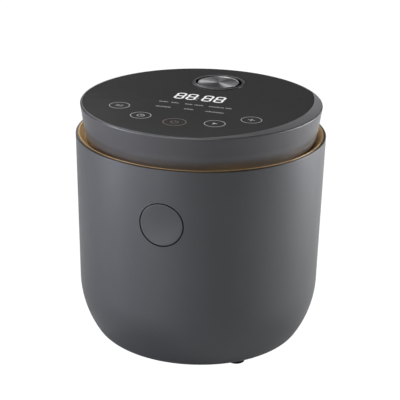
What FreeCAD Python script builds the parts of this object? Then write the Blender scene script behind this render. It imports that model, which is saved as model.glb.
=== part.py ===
import FreeCAD, Part
import Sketcher
import math
import os

# Round countertop electric pressure cooker, about three litres.
# Frame: millimetres, +Z up, origin on the surface that the feet stand on, below
# the centre of the pot.  The release button is at the front (-Y), the lid hinge
# and the power inlet are at the rear (+Y).

doc = FreeCAD.newDocument("pressure_cooker")
sheet = doc.addObject("Spreadsheet::Sheet", "P")

SIZES = [
    # outer casing
    ("rim_r", 122.0, "casing radius at its rim"),
    ("rim_z", 213.0, "height of the casing rim"),
    ("side_r", 118.9, "casing radius where the lower corner starts"),
    ("side_z", 66.0, "height where the lower corner starts"),
    ("base_r", 86.0, "radius of the flat base"),
    ("base_z", 3.7, "height of the base above the table"),
    ("corner_r", 21.0, "small radius of the lower corner"),
    ("wall", 2.5, "plastic wall"),
    ("lip", 2.4, "width of the rim"),
    ("cover_r", 70.0, "base cover radius"),
    ("foot_pcr", 82.0, "feet, distance from the centre"),
    ("foot_r", 8.5, "foot radius"),
    # release button and latch
    ("button_z", 158.4, "height of the button centre"),
    ("button_r", 20.6, "button radius"),
    ("button_hole_r", 21.6, "hole for the button"),
    ("button_travel", 4.0, "press of the button"),
    ("latch_y", -108.5, "lever pivot"),
    ("latch_z", 183.0, "lever pivot height"),
    ("latch_pin_r", 1.5, "lever pin radius"),
    # hinge
    ("hinge_y", 123.0, "hinge axis"),
    ("hinge_z", 214.0, "hinge axis height"),
    ("pin_r", 2.5, "hinge pin radius"),
    ("notch_x", 34.2, "half width of the hinge notch"),
    # collar, pot and heater
    ("deck_z", 206.0, "top of the collar"),
    ("collar_bore", 99.0, "collar bore radius"),
    ("seat_z", 193.2, "ledge that the pot hangs on"),
    ("pot_r", 91.0, "pot outer radius"),
    ("pot_wall", 1.8, "pot wall"),
    ("pot_low_z", 58.6, "underside of the pot"),
    ("pot_top_z", 195.6, "top of the pot flange"),
    ("pot_flange", 97.6, "pot flange radius"),
    ("pot_corner", 14.0, "pot lower corner radius"),
    ("shield_r", 98.0, "heat shield radius"),
    ("shield_z", 38.0, "underside of the heat shield"),
    ("sheet_gauge", 0.8, "heat shield thickness"),
    ("plate_r", 80.0, "heating plate radius"),
    ("plate_z", 58.3, "top of the heating plate"),
    # lid
    ("lid_z", 243.15, "top of the lid ring"),
    ("lid_r", 117.5, "lid radius at the top"),
    ("waist_r", 114.6, "lid radius where it starts to turn in"),
    ("waist_z", 223.0, "height of the same"),
    ("neck_r", 113.2, "lid radius just above the rim"),
    ("neck_z", 215.0, "height of the same"),
    ("skirt_r", 111.6, "lid radius at its lower edge"),
    ("skirt_z", 209.0, "lower edge of the lid ring"),
    ("panel_x", -2.8, "centre of the glass panel"),
    ("panel_r", 111.5, "glass panel radius"),
    ("panel_gauge", 2.65, "glass thickness"),
    ("vent_y", 67.0, "centre of the steam vent"),
    ("vent_r", 27.0, "vent bezel radius"),
    ("cap_r", 21.0, "vent cap radius"),
    ("float_dx", 13.8, "float valve, distance from the nozzle"),
    # power inlet
    ("inlet_z", 80.0, "height of the power inlet"),
    ("inlet_y", 118.6, "face of the power inlet"),
]


class Q:
    """A length: its value, and the sheet expression that drives it."""

    def __init__(self, v, t):
        self.v, self.t = float(v), t

    def __add__(self, o):
        o = q(o)
        return Q(self.v + o.v, "(%s + %s)" % (self.t, o.t))

    def __sub__(self, o):
        o = q(o)
        return Q(self.v - o.v, "(%s - %s)" % (self.t, o.t))

    def __mul__(self, o):
        o = q(o)
        return Q(self.v * o.v, "(%s * %s)" % (self.t, o.t))

    def __truediv__(self, o):
        o = q(o)
        return Q(self.v / o.v, "(%s / %s)" % (self.t, o.t))

    def __neg__(self):
        return Q(-self.v, "(0 - %s)" % self.t)

    def __rsub__(self, o):
        return q(o) - self

    __radd__ = __add__
    __rmul__ = __mul__


def q(x):
    return x if isinstance(x, Q) else Q(x, "(%r)" % float(x))


class Sizes:
    pass


p = Sizes()
for row, (alias, value, what) in enumerate(SIZES, start=1):
    sheet.set("A%d" % row, what)
    sheet.set("B%d" % row, repr(value))
    sheet.setAlias("B%d" % row, alias)
    setattr(p, alias, Q(value, "P." + alias))
doc.recompute()

NODES = []      # every kept sub-part, in order


def keep(obj, node):
    obj.Label = node
    NODES.append(obj)
    return obj


# ---------------------------------------------------------------- sketch tools

def body(node):
    b = doc.addObject("PartDesign::Body", node)
    if hasattr(b, "AllowCompound"):
        b.AllowCompound = True
    return keep(b, node)


def plane(b, role):
    for f in b.Origin.OriginFeatures:
        if f.Role == role:
            return f
    raise RuntimeError("no plane " + role)


def sketch(b, role="XZ_Plane", at=0.0, x=0.0, y=0.0):
    """Sketch on an origin plane of b, moved `at` along its normal and (x, y) in
    the plane."""
    sk = b.newObject("Sketcher::SketchObject", b.Name + "_sketch")
    sk.AttachmentSupport = [(plane(b, role), "")]
    sk.MapMode = "FlatFace"
    x, y, at = q(x), q(y), q(at)
    sk.AttachmentOffset = FreeCAD.Placement(FreeCAD.Vector(x.v, y.v, at.v), FreeCAD.Rotation())
    for key, val in (("x", x), ("y", y), ("z", at)):
        if "P." in val.t:
            sk.setExpression(".AttachmentOffset.Base." + key, val.t)
    return sk


def pin_point(sk, geo, pos, x, y):
    """Fix one point of a sketch to the sheet."""
    for kind, axis, val in (("DistanceX", -2, q(x)), ("DistanceY", -1, q(y))):
        if abs(val.v) < 1e-9:
            sk.addConstraint(Sketcher.Constraint("PointOnObject", geo, pos, axis))
            continue
        i = sk.addConstraint(Sketcher.Constraint(kind, -1, 1, geo, pos, val.v))
        if "P." in val.t:
            name = "%s_%d_%d" % (kind, geo, pos)
            sk.renameConstraint(i, name)
            sk.setExpression("Constraints." + name, val.t)


def outline(sk, pts, arcs=None):
    """A closed outline through pts.  arcs[i] = (cx, cy, turn): the edge that leaves
    point i is an arc about (cx, cy), turn +1 counter-clockwise, -1 clockwise."""
    arcs = arcs or {}
    n = len(pts)
    base = sk.GeometryCount
    ends = []
    for i in range(n):
        a, b = pts[i], pts[(i + 1) % n]
        ax, ay, bx, by = q(a[0]), q(a[1]), q(b[0]), q(b[1])
        if i in arcs:
            cx, cy, turn = q(arcs[i][0]), q(arcs[i][1]), arcs[i][2]
            r = math.hypot(ax.v - cx.v, ay.v - cy.v)
            t0 = math.atan2(ay.v - cy.v, ax.v - cx.v)
            t1 = math.atan2(by.v - cy.v, bx.v - cx.v)
            if turn < 0:
                t0, t1 = t1, t0
            while t1 <= t0:
                t1 += 2 * math.pi
            circle = Part.Circle(FreeCAD.Vector(cx.v, cy.v, 0), FreeCAD.Vector(0, 0, 1), r)
            g = sk.addGeometry(Part.ArcOfCircle(circle, t0, t1), False)
            ends.append((g, 1, 2) if turn > 0 else (g, 2, 1))
        else:
            g = sk.addGeometry(Part.LineSegment(FreeCAD.Vector(ax.v, ay.v, 0),
                                                FreeCAD.Vector(bx.v, by.v, 0)), False)
            ends.append((g, 1, 2))
    for i in range(n):
        g, s, e = ends[i]
        h, s2, e2 = ends[(i + 1) % n]
        sk.addConstraint(Sketcher.Constraint("Coincident", g, e, h, s2))
        pin_point(sk, g, s, pts[i][0], pts[i][1])
    for i in arcs:
        g = ends[i][0]
        # the arc's centre height (or its offset, if its ends are level) fixes its radius
        a, b = pts[i], pts[(i + 1) % n]
        if abs(q(a[0]).v - q(b[0]).v) > abs(q(a[1]).v - q(b[1]).v):
            kind, val = "DistanceY", q(arcs[i][1])
            axis = -1
        else:
            kind, val = "DistanceX", q(arcs[i][0])
            axis = -2
        if abs(val.v) < 1e-9:
            sk.addConstraint(Sketcher.Constraint("PointOnObject", g, 3, axis))
        else:
            c = sk.addConstraint(Sketcher.Constraint(kind, -1, 1, g, 3, val.v))
            if "P." in val.t:
                name = "centre_%d" % g
                sk.renameConstraint(c, name)
                sk.setExpression("Constraints." + name, val.t)
    return base


def circle(sk, x, y, r):
    x, y, r = q(x), q(y), q(r)
    g = sk.addGeometry(Part.Circle(FreeCAD.Vector(x.v, y.v, 0), FreeCAD.Vector(0, 0, 1), r.v), False)
    c = sk.addConstraint(Sketcher.Constraint("Radius", g, r.v))
    if "P." in r.t:
        name = "radius_%d" % g
        sk.renameConstraint(c, name)
        sk.setExpression("Constraints." + name, r.t)
    pin_point(sk, g, 3, x, y)
    return g


def rect(sk, x0, x1, y0, y1):
    return outline(sk, [(x0, y0), (x1, y0), (x1, y1), (x0, y1)])


# ------------------------------------------------------------- feature tools

def checked_cut(b, f):
    doc.recompute()
    if f.Shape.isNull() or f.Shape.Volume >= f.BaseFeature.Shape.Volume - 1e-3:
        raise RuntimeError("%s cuts nothing" % f.Name)
    return f


def revolve(b, sk):
    f = b.newObject("PartDesign::Revolution", b.Name + "_turned")
    f.Profile = sk
    f.ReferenceAxis = (sk, ["V_Axis"])
    f.Angle = 360.0
    sk.Visibility = False
    doc.recompute()
    return f


def groove(b, sk, axis="V_Axis"):
    f = b.newObject("PartDesign::Groove", b.Name + "_groove")
    f.Profile = sk
    f.ReferenceAxis = (sk, [axis])
    f.Angle = 360.0
    return checked_cut(b, f)


def pad(b, sk, length):
    f = b.newObject("PartDesign::Pad", b.Name + "_pad")
    f.Profile = sk
    length = q(length)
    f.Length = length.v
    if "P." in length.t:
        f.setExpression("Length", length.t)
    doc.recompute()
    return f


def pocket(b, sk, length):
    """Cut from the sketch along its normal."""
    f = b.newObject("PartDesign::Pocket", b.Name + "_pocket")
    f.Profile = sk
    length = q(length)
    f.Length = length.v
    if "P." in length.t:
        f.setExpression("Length", length.t)
    f.Reversed = True
    return checked_cut(b, f)


def around(b, feat, sk, count):
    f = b.newObject("PartDesign::PolarPattern", b.Name + "_ring")
    f.Originals = [feat]
    f.Axis = (sk, ["N_Axis"])
    f.Angle = 360.0
    f.Occurrences = count
    b.Tip = f
    doc.recompute()
    return f


def turned(node, pts, arcs=None, x=0.0, y=0.0):
    """A body turned about the vertical line through (x, y); pts are (radius, height)."""
    b = body(node)
    sk = sketch(b, "XZ_Plane", at=-q(y), x=x)
    outline(sk, pts, arcs)
    revolve(b, sk)
    return b


def hole_z(b, spots, r, z0, z1):
    """Vertical round holes at (x, y) spots between two heights."""
    sk = sketch(b, "XY_Plane", at=z0)
    for x, y in spots:
        circle(sk, x, y, r)
    return pocket(b, sk, q(z1) - q(z0))


def box_cut(b, x0, x1, y0, y1, z0, z1):
    sk = sketch(b, "XY_Plane", at=z0)
    rect(sk, x0, x1, y0, y1)
    return pocket(b, sk, q(z1) - q(z0))


def box_add(b, x0, x1, y0, y1, z0, z1):
    sk = sketch(b, "XY_Plane", at=z0)
    rect(sk, x0, x1, y0, y1)
    return pad(b, sk, q(z1) - q(z0))


def block(node, x0, x1, y0, y1, z0, z1):
    b = body(node)
    box_add(b, x0, x1, y0, y1, z0, z1)
    return b


def posts(b, spots, r, z0, z1):
    sk = sketch(b, "XY_Plane", at=z0)
    for x, y in spots:
        circle(sk, x, y, r)
    return pad(b, sk, q(z1) - q(z0))


def polar(r, *degrees):
    r = q(r)
    return [(r * round(math.cos(math.radians(a)), 9), r * round(math.sin(math.radians(a)), 9))
            for a in degrees]


def round_edges(b, radius, test):
    """Fillet the edges of the tip for which test(edge) holds."""
    doc.recompute()
    base = b.Tip
    names = ["Edge%d" % (i + 1) for i, e in enumerate(base.Shape.Edges) if test(e)]
    if not names:
        raise RuntimeError("no edge to round on " + b.Name)
    f = b.newObject("PartDesign::Fillet", b.Name + "_fillet")
    f.Base = (base, names)
    f.Radius = radius
    doc.recompute()
    return f


def vertical(e):
    if len(e.Vertexes) != 2:
        return False
    a, c = e.Vertexes[0].Point, e.Vertexes[1].Point
    return abs(a.x - c.x) < 1e-4 and abs(a.y - c.y) < 1e-4 and abs(a.z - c.z) > 1e-3


# ------------------------------------------------------------------ the casing

# The lower corner is a quarter oval, drawn as two tangent arcs: a small one at
# the base and a large one that runs up into the side.
half_w = p.side_r - p.base_r
half_h = p.side_z - p.base_z
big_r = (half_w * half_w + half_h * half_h - half_h * p.corner_r * 2) / ((half_w - p.corner_r) * 2)
c_big = (p.side_r - big_r, p.side_z)
c_small = (p.base_r, p.base_z + p.corner_r)
ux = (c_small[0] - c_big[0]) / (big_r - p.corner_r)
uz = (c_small[1] - c_big[1]) / (big_r - p.corner_r)


def corner(offset):
    """The point where the two arcs meet, on a wall set in by offset."""
    r = p.corner_r - offset
    return (c_small[0] + ux * r, c_small[1] + uz * r)


shell = turned("outer_shell", [
    (p.cover_r + 0.3, p.base_z),
    (p.base_r, p.base_z),
    corner(0.0),
    (p.side_r, p.side_z),
    (p.rim_r, p.rim_z - 0.8),
    (p.rim_r - 0.7, p.rim_z),
    (p.rim_r - p.lip, p.rim_z),
    (p.side_r - p.wall, p.side_z),
    corner(2.5),
    (p.base_r, p.base_z + 2.5),
    (p.cover_r + 0.3, p.base_z + 2.5),
], {1: (c_small[0], c_small[1], 1), 2: (c_big[0], c_big[1], 1),
    7: (c_big[0], c_big[1], -1), 8: (c_small[0], c_small[1], -1)})
# round hole for the release button
sk = sketch(shell, "XZ_Plane", at=100.0)
circle(sk, 0, p.button_z, p.button_hole_r)
pocket(shell, sk, 40.0)
# notch for the hinge, open at the rim
box_cut(shell, -p.notch_x, p.notch_x, 100.0, 140.0, 196.0, 230.0)
# opening for the power inlet
sk = sketch(shell, "XZ_Plane", at=-130.0)
rect(sk, -17.1, 17.1, p.inlet_z - 13.1, p.inlet_z + 13.1)
pocket(shell, sk, 30.0)

FEET = polar(p.foot_pcr, 45, 135, 225, 315)
POSTS = polar(60.0, 0, 90, 180, 270)
hole_z(shell, FEET, 2.3, 3.0, 8.0)

base = turned("base_cover", [(0, p.base_z), (p.cover_r, p.base_z),
                             (p.cover_r, p.base_z + 2.5), (0, p.base_z + 2.5)])
hole_z(base, POSTS, 3.7, 3.0, p.base_z + 1.7)
hole_z(base, POSTS, 1.8, 3.0, 8.0)
# cooling slots
sk = sketch(base, "XY_Plane", at=3.0)
rect(sk, 28.0, 50.0, -1.6, 1.6)
slot = pocket(base, sk, 5.0)
around(base, slot, sk, 16)

# Each foot is a pad with a stem that is pushed up through the casing's base.
feet = body("rubber_feet")
posts(feet, FEET, p.foot_r, 0.0, p.base_z - 0.05)
posts(feet, FEET, 2.2, p.base_z - 0.1, p.base_z + 3.2)
posts(feet, FEET, 3.2, p.base_z + 2.6, p.base_z + 4.2)

screws = body("base_screws")
posts(screws, POSTS, 3.3, p.base_z + 0.2, p.base_z + 1.6)
posts(screws, POSTS, 1.4, p.base_z + 1.6, 20.0)

sup = body("support_posts")
posts(sup, POSTS, 5.0, p.base_z + 2.6, p.shield_z - 0.1)
hole_z(sup, POSTS, 1.5, 5.0, 22.0)

# ------------------------------------------------------- collar and trim ring

collar = turned("top_collar", [
    (92.5, p.seat_z - 2.6), (p.collar_bore + 2.5, p.seat_z - 2.6),
    (p.collar_bore + 2.5, p.deck_z - 2.5), (116.4, p.deck_z - 2.5), (116.4, 190.0),
    (118.8, 190.0), (118.8, p.deck_z), (p.collar_bore, p.deck_z),
    (p.collar_bore, p.seat_z), (92.5, p.seat_z)])
box_cut(collar, -p.notch_x, p.notch_x, 106.0, 130.0, 185.0, 210.0)
# slot for the lid's catch
box_cut(collar, -7.6, 7.6, -108.2, -102.0, 200.0, 210.0)

trim = turned("gold_trim_ring", [
    (109.6, p.deck_z + 0.1), (119.4, p.deck_z + 0.1), (119.4, p.rim_z + 0.3),
    (118.6, p.rim_z + 0.3), (113.6, p.rim_z - 4.8), (109.6, p.rim_z - 5.6)])
box_cut(trim, -p.notch_x, p.notch_x, 100.0, 130.0, 200.0, 220.0)

# ---------------------------------------------------------- pot and its heater

pc = p.pot_r - p.pot_corner
pz = p.pot_low_z + p.pot_corner
pot = turned("inner_pot", [
    (0, p.pot_low_z), (pc, p.pot_low_z), (p.pot_r, pz), (p.pot_r, p.pot_top_z - 2.2),
    (p.pot_flange, p.pot_top_z - 2.2), (p.pot_flange, p.pot_top_z),
    (p.pot_r - p.pot_wall, p.pot_top_z), (p.pot_r - p.pot_wall, pz),
    (pc, p.pot_low_z + p.pot_wall), (0, p.pot_low_z + p.pot_wall)],
    {1: (pc, pz, 1), 7: (pc, pz, -1)})

sz, sg = p.shield_z, p.sheet_gauge
shield = turned("heat_shield", [
    (4.08, sz), (p.shield_r, sz), (p.shield_r, 189.5), (101.4, 189.5), (101.4, 190.3),
    (p.shield_r - sg, 190.3), (p.shield_r - sg, sz + sg), (4.08, sz + sg)])
COLD_ENDS = polar(60.0, 38.3, 51.7)
hole_z(shield, COLD_ENDS, 4.0, 30.0, 42.0)

plate = turned("heating_plate", [
    (14.0, 50.5), (p.plate_r, 50.5), (p.plate_r, p.plate_z - 1.5), (p.plate_r - 1.5, p.plate_z),
    (14.0, p.plate_z)])
posts(plate, polar(38.0, 60, 180, 300), 4.5, sz + sg + 0.1, 51.0)

# The tubular element is a ring under the plate with two cold ends that pass
# down through the shield.
ring = doc.addObject("Part::Torus", "element_ring")
ring.Radius1, ring.Radius2 = 60.0, 4.0
ring.Placement.Base = FreeCAD.Vector(0, 0, 46.4)
ends = []
for k, (ex, ey) in enumerate(COLD_ENDS):
    c = doc.addObject("Part::Cylinder", "element_end_%d" % k)
    c.Radius, c.Height = 2.6, 14.4
    c.Placement.Base = FreeCAD.Vector(ex.v, ey.v, 32.0)
    ends.append(c)
element = doc.addObject("Part::MultiFuse", "heating_element")
element.Shapes = [ring] + ends
keep(element, "heating_element")

sensor = turned("temperature_sensor", [
    (0, 30.0), (4.0, 30.0), (4.0, 53.0), (13.0, 53.0), (13.0, p.plate_z - 0.8),
    (12.2, p.plate_z), (0, p.plate_z)])

fuse = body("thermal_fuse")
sk = sketch(fuse, "YZ_Plane", at=-44.0)
circle(sk, 24.0, p.shield_z - 3.2, 3.0)
pad(fuse, sk, 18.0)
sk = sketch(fuse, "YZ_Plane", at=-54.0)
circle(sk, 24.0, p.shield_z - 3.2, 0.7)
pad(fuse, sk, 38.0)

# ----------------------------------------------------------- power electronics

pcb = block("power_board", -42.0, 42.0, -46.0, 10.0, 12.0, 13.6)
round_edges(pcb, 3.0, vertical)
BOARD = [(-37.0, -41.0), (37.0, -41.0), (-37.0, 5.0), (37.0, 5.0)]
hole_z(pcb, BOARD, 1.7, 11.0, 15.0)
stand = body("board_standoffs")
posts(stand, BOARD, 3.4, p.base_z + 2.6, 11.9)
relay = block("power_relay", 14.0, 32.0, -34.0, -20.0, 13.7, 28.5)
round_edges(relay, 1.2, vertical)
core = block("transformer", -34.0, -10.0, -36.0, -16.0, 13.7, 29.5)
box_add(core, -29.0, -15.0, -40.0, -12.0, 16.0, 27.0)
caps = body("filter_capacitors")
posts(caps, [(-2.0, -30.0), (4.0, -18.0)], 4.5, 13.7, 27.0)

inlet = body("power_inlet")
sk = sketch(inlet, "XZ_Plane", at=-p.inlet_y)
iz = p.inlet_z
rect(sk, -16.8, 16.8, iz - 12.8, iz + 12.8)
pad(inlet, sk, 19.4)
# connector recess with two cut corners
sk = sketch(inlet, "XZ_Plane", at=-p.inlet_y - 0.5)
outline(sk, [(-12.1, iz - 8.2), (12.1, iz - 8.2), (12.1, iz + 3.7), (7.6, iz + 8.2),
             (-7.6, iz + 8.2), (-12.1, iz + 3.7)])
pocket(inlet, sk, 17.5)
sk = sketch(inlet, "XZ_Plane", at=-p.inlet_y)
for px, dz in ((-7.0, -2.0), (7.0, -2.0), (0.0, 2.0)):
    rect(sk, px - 1.1, px + 1.1, iz + dz - 2.1, iz + dz + 2.1)
pocket(inlet, sk, 30.0)
pins = body("inlet_pins")
sk = sketch(pins, "XZ_Plane", at=-p.inlet_y + 3.0)
for px, dz in ((-7.0, -2.0), (7.0, -2.0), (0.0, 2.0)):
    rect(sk, px - 1.0, px + 1.0, iz + dz - 2.0, iz + dz + 2.0)
pad(pins, sk, 16.2)

# -------------------------------------------------------------------- the hinge

hy, hz = p.hinge_y, p.hinge_z
bracket = block("hinge_bracket", -26.5, 26.5, 107.0, 124.5, 198.6, 200.6)
for side in (-1, 1):
    sk = sketch(bracket, "YZ_Plane", at=25.5 * side - 1.0)
    outline(sk, [(hy - 10.0, 200.0), (hy + 1.5, 200.0), (hy + 5.0, hz), (hy - 5.0, hz)],
            {2: (hy, hz, 1)})
    pad(bracket, sk, 2.0)
sk = sketch(bracket, "YZ_Plane", at=-40.0)
circle(sk, hy, hz, p.pin_r + 0.02)
pocket(bracket, sk, 80.0)

pin = body("hinge_pin")
sk = sketch(pin, "YZ_Plane", at=-29.0)
circle(sk, hy, hz, p.pin_r)
pad(pin, sk, 58.0)
sk = sketch(pin, "YZ_Plane", at=28.0)
circle(sk, hy, hz, p.pin_r + 1.5)
pad(pin, sk, 1.5)

# The cover is a curved hood behind the hinge, closed at both ends.
cos30, sin30 = 0.8660254, 0.5
hood = body("hinge_cover")
sk = sketch(hood, "YZ_Plane", at=-32.0)
outline(sk, [(119.0, 196.2), (126.5, 196.2), (hy + 8.2, 202.0), (hy + 8.2, hz),
             (hy + 8.2 * cos30, hz + 8.2 * sin30), (hy + 6.0 * cos30, hz + 6.0 * sin30),
             (hy + 6.0, hz), (hy + 6.0, 202.8), (125.5, 198.4), (119.0, 198.4)],
        {3: (hy, hz, 1), 5: (hy, hz, -1)})
pad(hood, sk, 64.0)
for side in (-1, 1):
    sk = sketch(hood, "YZ_Plane", at=32.75 * side - 1.25)
    outline(sk, [(117.0, 196.2), (126.5, 196.2), (hy + 8.2, 202.0), (hy + 8.2, hz),
                 (hy + 8.2 * cos30, hz + 8.2 * sin30), (126.5, 221.0), (122.0, 221.5), (117.0, 213.0)],
            {3: (hy, hz, 1)})
    pad(hood, sk, 2.5)

# ------------------------------------------------------------ button and latch

button = body("release_button")
sk = sketch(button, "XZ_Plane", at=113.2)
circle(sk, 0, p.button_z, p.button_r)
pad(button, sk, 12.0)
# its face follows the casing
slope = (p.rim_r - p.side_r) / (p.rim_z - p.side_z)
r_low = p.side_r + slope * (p.button_z - 30.0 - p.side_z) - 0.1
r_high = p.side_r + slope * (p.button_z + 30.0 - p.side_z) - 0.1
sk = sketch(button, "XZ_Plane")
outline(sk, [(r_low, p.button_z - 30.0), (140.0, p.button_z - 30.0),
             (140.0, p.button_z + 30.0), (r_high, p.button_z + 30.0)])
groove(button, sk)
# room for the latch at the top of its back
box_cut(button, -14.6, 14.6, -117.4, -105.0, 171.5, 190.0)
# shallow dished face
sk = sketch(button, "XZ_Plane", at=119.4)
circle(sk, 0, p.button_z, p.button_r - 2.2)
pocket(button, sk, 6.0)
# flange behind the casing wall, two guide pegs and the push stem
sk = sketch(button, "XZ_Plane", at=113.2)
circle(sk, 0, p.button_z, 23.4)
pad(button, sk, 1.8)
box_cut(button, -14.6, 14.6, -117.4, -105.0, 171.5, 190.0)
sk = sketch(button, "XZ_Plane", at=108.5)
circle(sk, 0, p.button_z, 4.0)
pad(button, sk, 5.0)

ly, lz = p.latch_y, p.latch_z
frame = block("latch_frame", -24.0, 24.0, -104.5, -102.0, 134.0, 193.4)
box_cut(frame, -9.5, 9.5, -106.0, -100.0, 149.0, 187.5)
for side in (-1, 1):
    box_add(frame, 11.25 * side - 1.25, 11.25 * side + 1.25, -113.0, -104.0, lz - 6.0, lz + 6.0)
sk = sketch(frame, "YZ_Plane", at=-20.0)
circle(sk, ly, lz, p.latch_pin_r + 0.02)
pocket(frame, sk, 40.0)

lpin = body("latch_pin")
sk = sketch(lpin, "YZ_Plane", at=-14.5)
circle(sk, ly, lz, p.latch_pin_r)
pad(lpin, sk, 29.0)

lever = body("latch_lever")
sk = sketch(lever, "YZ_Plane", at=-7.0)
outline(sk, [
    (ly + 2.3, lz - 29.0), (ly + 4.8, lz - 29.0), (ly + 4.8, lz - 3.0), (ly + 3.6, lz + 2.5),
    (ly, lz + 6.0), (ly, lz + 16.5), (ly + 1.8, lz + 16.5), (ly + 2.4, lz + 17.3), (ly, lz + 19.8),
    (ly - 2.5, lz + 19.8), (ly - 2.5, lz + 4.5), (ly - 3.8, lz + 1.0), (ly - 3.8, lz - 2.5),
    (ly + 2.3, lz - 7.0)])
pad(lever, sk, 14.0)
sk = sketch(lever, "YZ_Plane", at=-5.0)
circle(sk, ly + 2.3, p.button_z, 2.0)
pad(lever, sk, 10.0)
sk = sketch(lever, "YZ_Plane", at=-20.0)
circle(sk, ly, lz, p.latch_pin_r + 0.05)
pocket(lever, sk, 40.0)

# -------------------------------------------------------------------- the lid

ring = turned("lid_ring", [
    (p.skirt_r, p.skirt_z), (p.neck_r, p.neck_z), (p.waist_r, p.waist_z),
    (p.lid_r, p.lid_z - 0.9), (p.lid_r - 0.9, p.lid_z), (105.0, p.lid_z),
    (105.0, p.lid_z - 4.95), (p.lid_r - 3.4, p.lid_z - 7.0), (p.waist_r - 2.5, p.waist_z),
    (p.neck_r - 2.5, p.neck_z), (p.skirt_r - 2.4, p.skirt_z)])
sk = sketch(ring, "XY_Plane", at=p.lid_z - 2.9)
circle(sk, p.panel_x, 0, p.panel_r + 0.2)
pocket(ring, sk, 10.0)
box_cut(ring, -20.4, 20.4, 95.0, 125.0, 205.0, 218.4)

glass = body("glass_panel")
sk = sketch(glass, "XY_Plane", at=p.lid_z - 2.8)
circle(sk, p.panel_x, 0, p.panel_r)
circle(sk, p.panel_x, p.vent_y, p.vent_r - 1.7)
pad(glass, sk, p.panel_gauge)

LEGS = polar(88.0, 35, 145, 225, 315)
BOARD2 = [(-66.0, -24.0), (60.0, -24.0), (-50.0, 20.0), (45.0, 20.0)]
lframe = turned("lid_frame", [
    (0, 230.0), (101.0, 230.0), (101.0, 218.0), (103.5, 218.0), (103.5, 238.1), (101.0, 238.1),
    (101.0, 232.0), (0, 232.0)])
hole_z(lframe, [(p.panel_x, p.vent_y)], 24.2, 225.0, 240.0)
posts(lframe, LEGS, 5.0, 209.0, 230.5)
posts(lframe, BOARD2, 4.0, 231.5, 234.4)
hole_z(lframe, LEGS, 1.5, 205.0, 219.0)
box_cut(lframe, -22.0, 22.0, 95.0, 110.0, 215.0, 220.0)

disp = body("display_board")
sk = sketch(disp, "XY_Plane", at=234.5)
circle(sk, 0, 0, 98.0)
pad(disp, sk, 1.6)
box_cut(disp, -110.0, 110.0, 36.0, 110.0, 230.0, 240.0)
led = block("display_module", -31.0, 23.0, -3.5, 20.5, 236.2, 240.2)
round_edges(led, 1.0, vertical)
TOUCH = [(-69.1, -42.6), (-39.5, -65.6), (-3.2, -74.5), (33.3, -66.1), (62.4, -43.6)]
touch = body("touch_pads")
posts(touch, TOUCH, 7.0, 236.2, 240.2)

vx, vy = p.panel_x, p.vent_y
FLOAT = (vx + p.float_dx, vy)
liner = turned("lid_liner", [
    (0, 206.4), (94.5, 206.4), (94.5, 203.2), (97.0, 203.2), (97.0, 206.4), (108.8, 206.4),
    (108.8, 214.0), (106.5, 214.0), (106.5, 208.9), (0, 208.9)])
hole_z(liner, [(vx, vy)], 7.0, 200.0, 212.0)
hole_z(liner, [FLOAT], 3.0, 200.0, 212.0)
hole_z(liner, LEGS, 1.6, 200.0, 212.0)
box_cut(liner, -20.4, 20.4, 104.4, 115.0, 209.05, 220.0)
box_cut(liner, -6.2, 6.2, -105.3, -102.7, 200.0, 212.0)

lscrews = body("lid_screws")
posts(lscrews, LEGS, 3.2, 204.7, 206.3)
posts(lscrews, LEGS, 1.4, 206.3, 217.0)

inner = turned("inner_lid_plate", [
    (0, 200.8), (96.6, 200.8), (96.6, 202.0), (6.0, 202.0), (6.0, 206.3), (0, 206.3)])
hole_z(inner, [(vx, vy)], 6.6, 195.0, 204.0)
hole_z(inner, [FLOAT], 2.9, 195.0, 204.0)

gasket = turned("sealing_gasket", [
    (88.5, 199.0), (93.2, 198.2), (94.2, 196.0), (96.6, 196.0), (96.6, 200.7), (88.5, 200.7)])

nozzle = turned("valve_nozzle", [
    (1.6, 198.2), (6.4, 198.2), (6.4, 202.1), (9.0, 202.1), (9.0, 204.1), (6.4, 204.1),
    (6.4, 222.0), (3.2, 226.0), (1.6, 226.0)], x=vx, y=vy)

sieve = turned("filter_cap", [
    (0, 193.8), (8.5, 193.8), (8.5, 200.7), (7.2, 200.7), (7.2, 195.0), (0, 195.0)], x=vx, y=vy)
sk = sketch(sieve, "XY_Plane", at=190.0, x=vx, y=vy)
circle(sk, 4.4, 0, 0.8)
f = pocket(sieve, sk, 8.0)
around(sieve, f, sk, 8)

fseal = turned("float_seal", [(3.0, 199.5), (4.6, 199.5), (4.6, 200.7), (3.0, 200.7)],
               x=FLOAT[0], y=FLOAT[1])

chamber = turned("steam_chamber", [
    (7.0, 209.1), (23.4, 209.1), (23.4, 238.0), (21.6, 238.0), (21.6, 210.9), (7.0, 210.9)],
    x=vx, y=vy)
hole_z(chamber, [FLOAT], 3.0, 205.0, 212.0)

bezel = turned("vent_bezel", [
    (21.4, p.lid_z - 0.1), (23.8, p.lid_z - 0.1), (23.8, 238.3), (25.1, 238.3),
    (25.1, p.lid_z - 0.1), (p.vent_r, p.lid_z - 0.1), (p.vent_r, p.lid_z + 0.5),
    (p.vent_r - 0.8, p.lid_z + 1.3), (22.2, p.lid_z + 1.3), (21.4, p.lid_z + 0.6)], x=vx, y=vy)
# two crescent steam outlets, left and right of the cap
sk = sketch(bezel, "XY_Plane", at=p.lid_z - 3.0)
circle(sk, vx - 3.0, vy, 20.4)
pocket(bezel, sk, 8.0)
sk = sketch(bezel, "XY_Plane", at=p.lid_z - 3.0)
circle(sk, vx + 3.0, vy, 20.4)
pocket(bezel, sk, 8.0)

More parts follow.
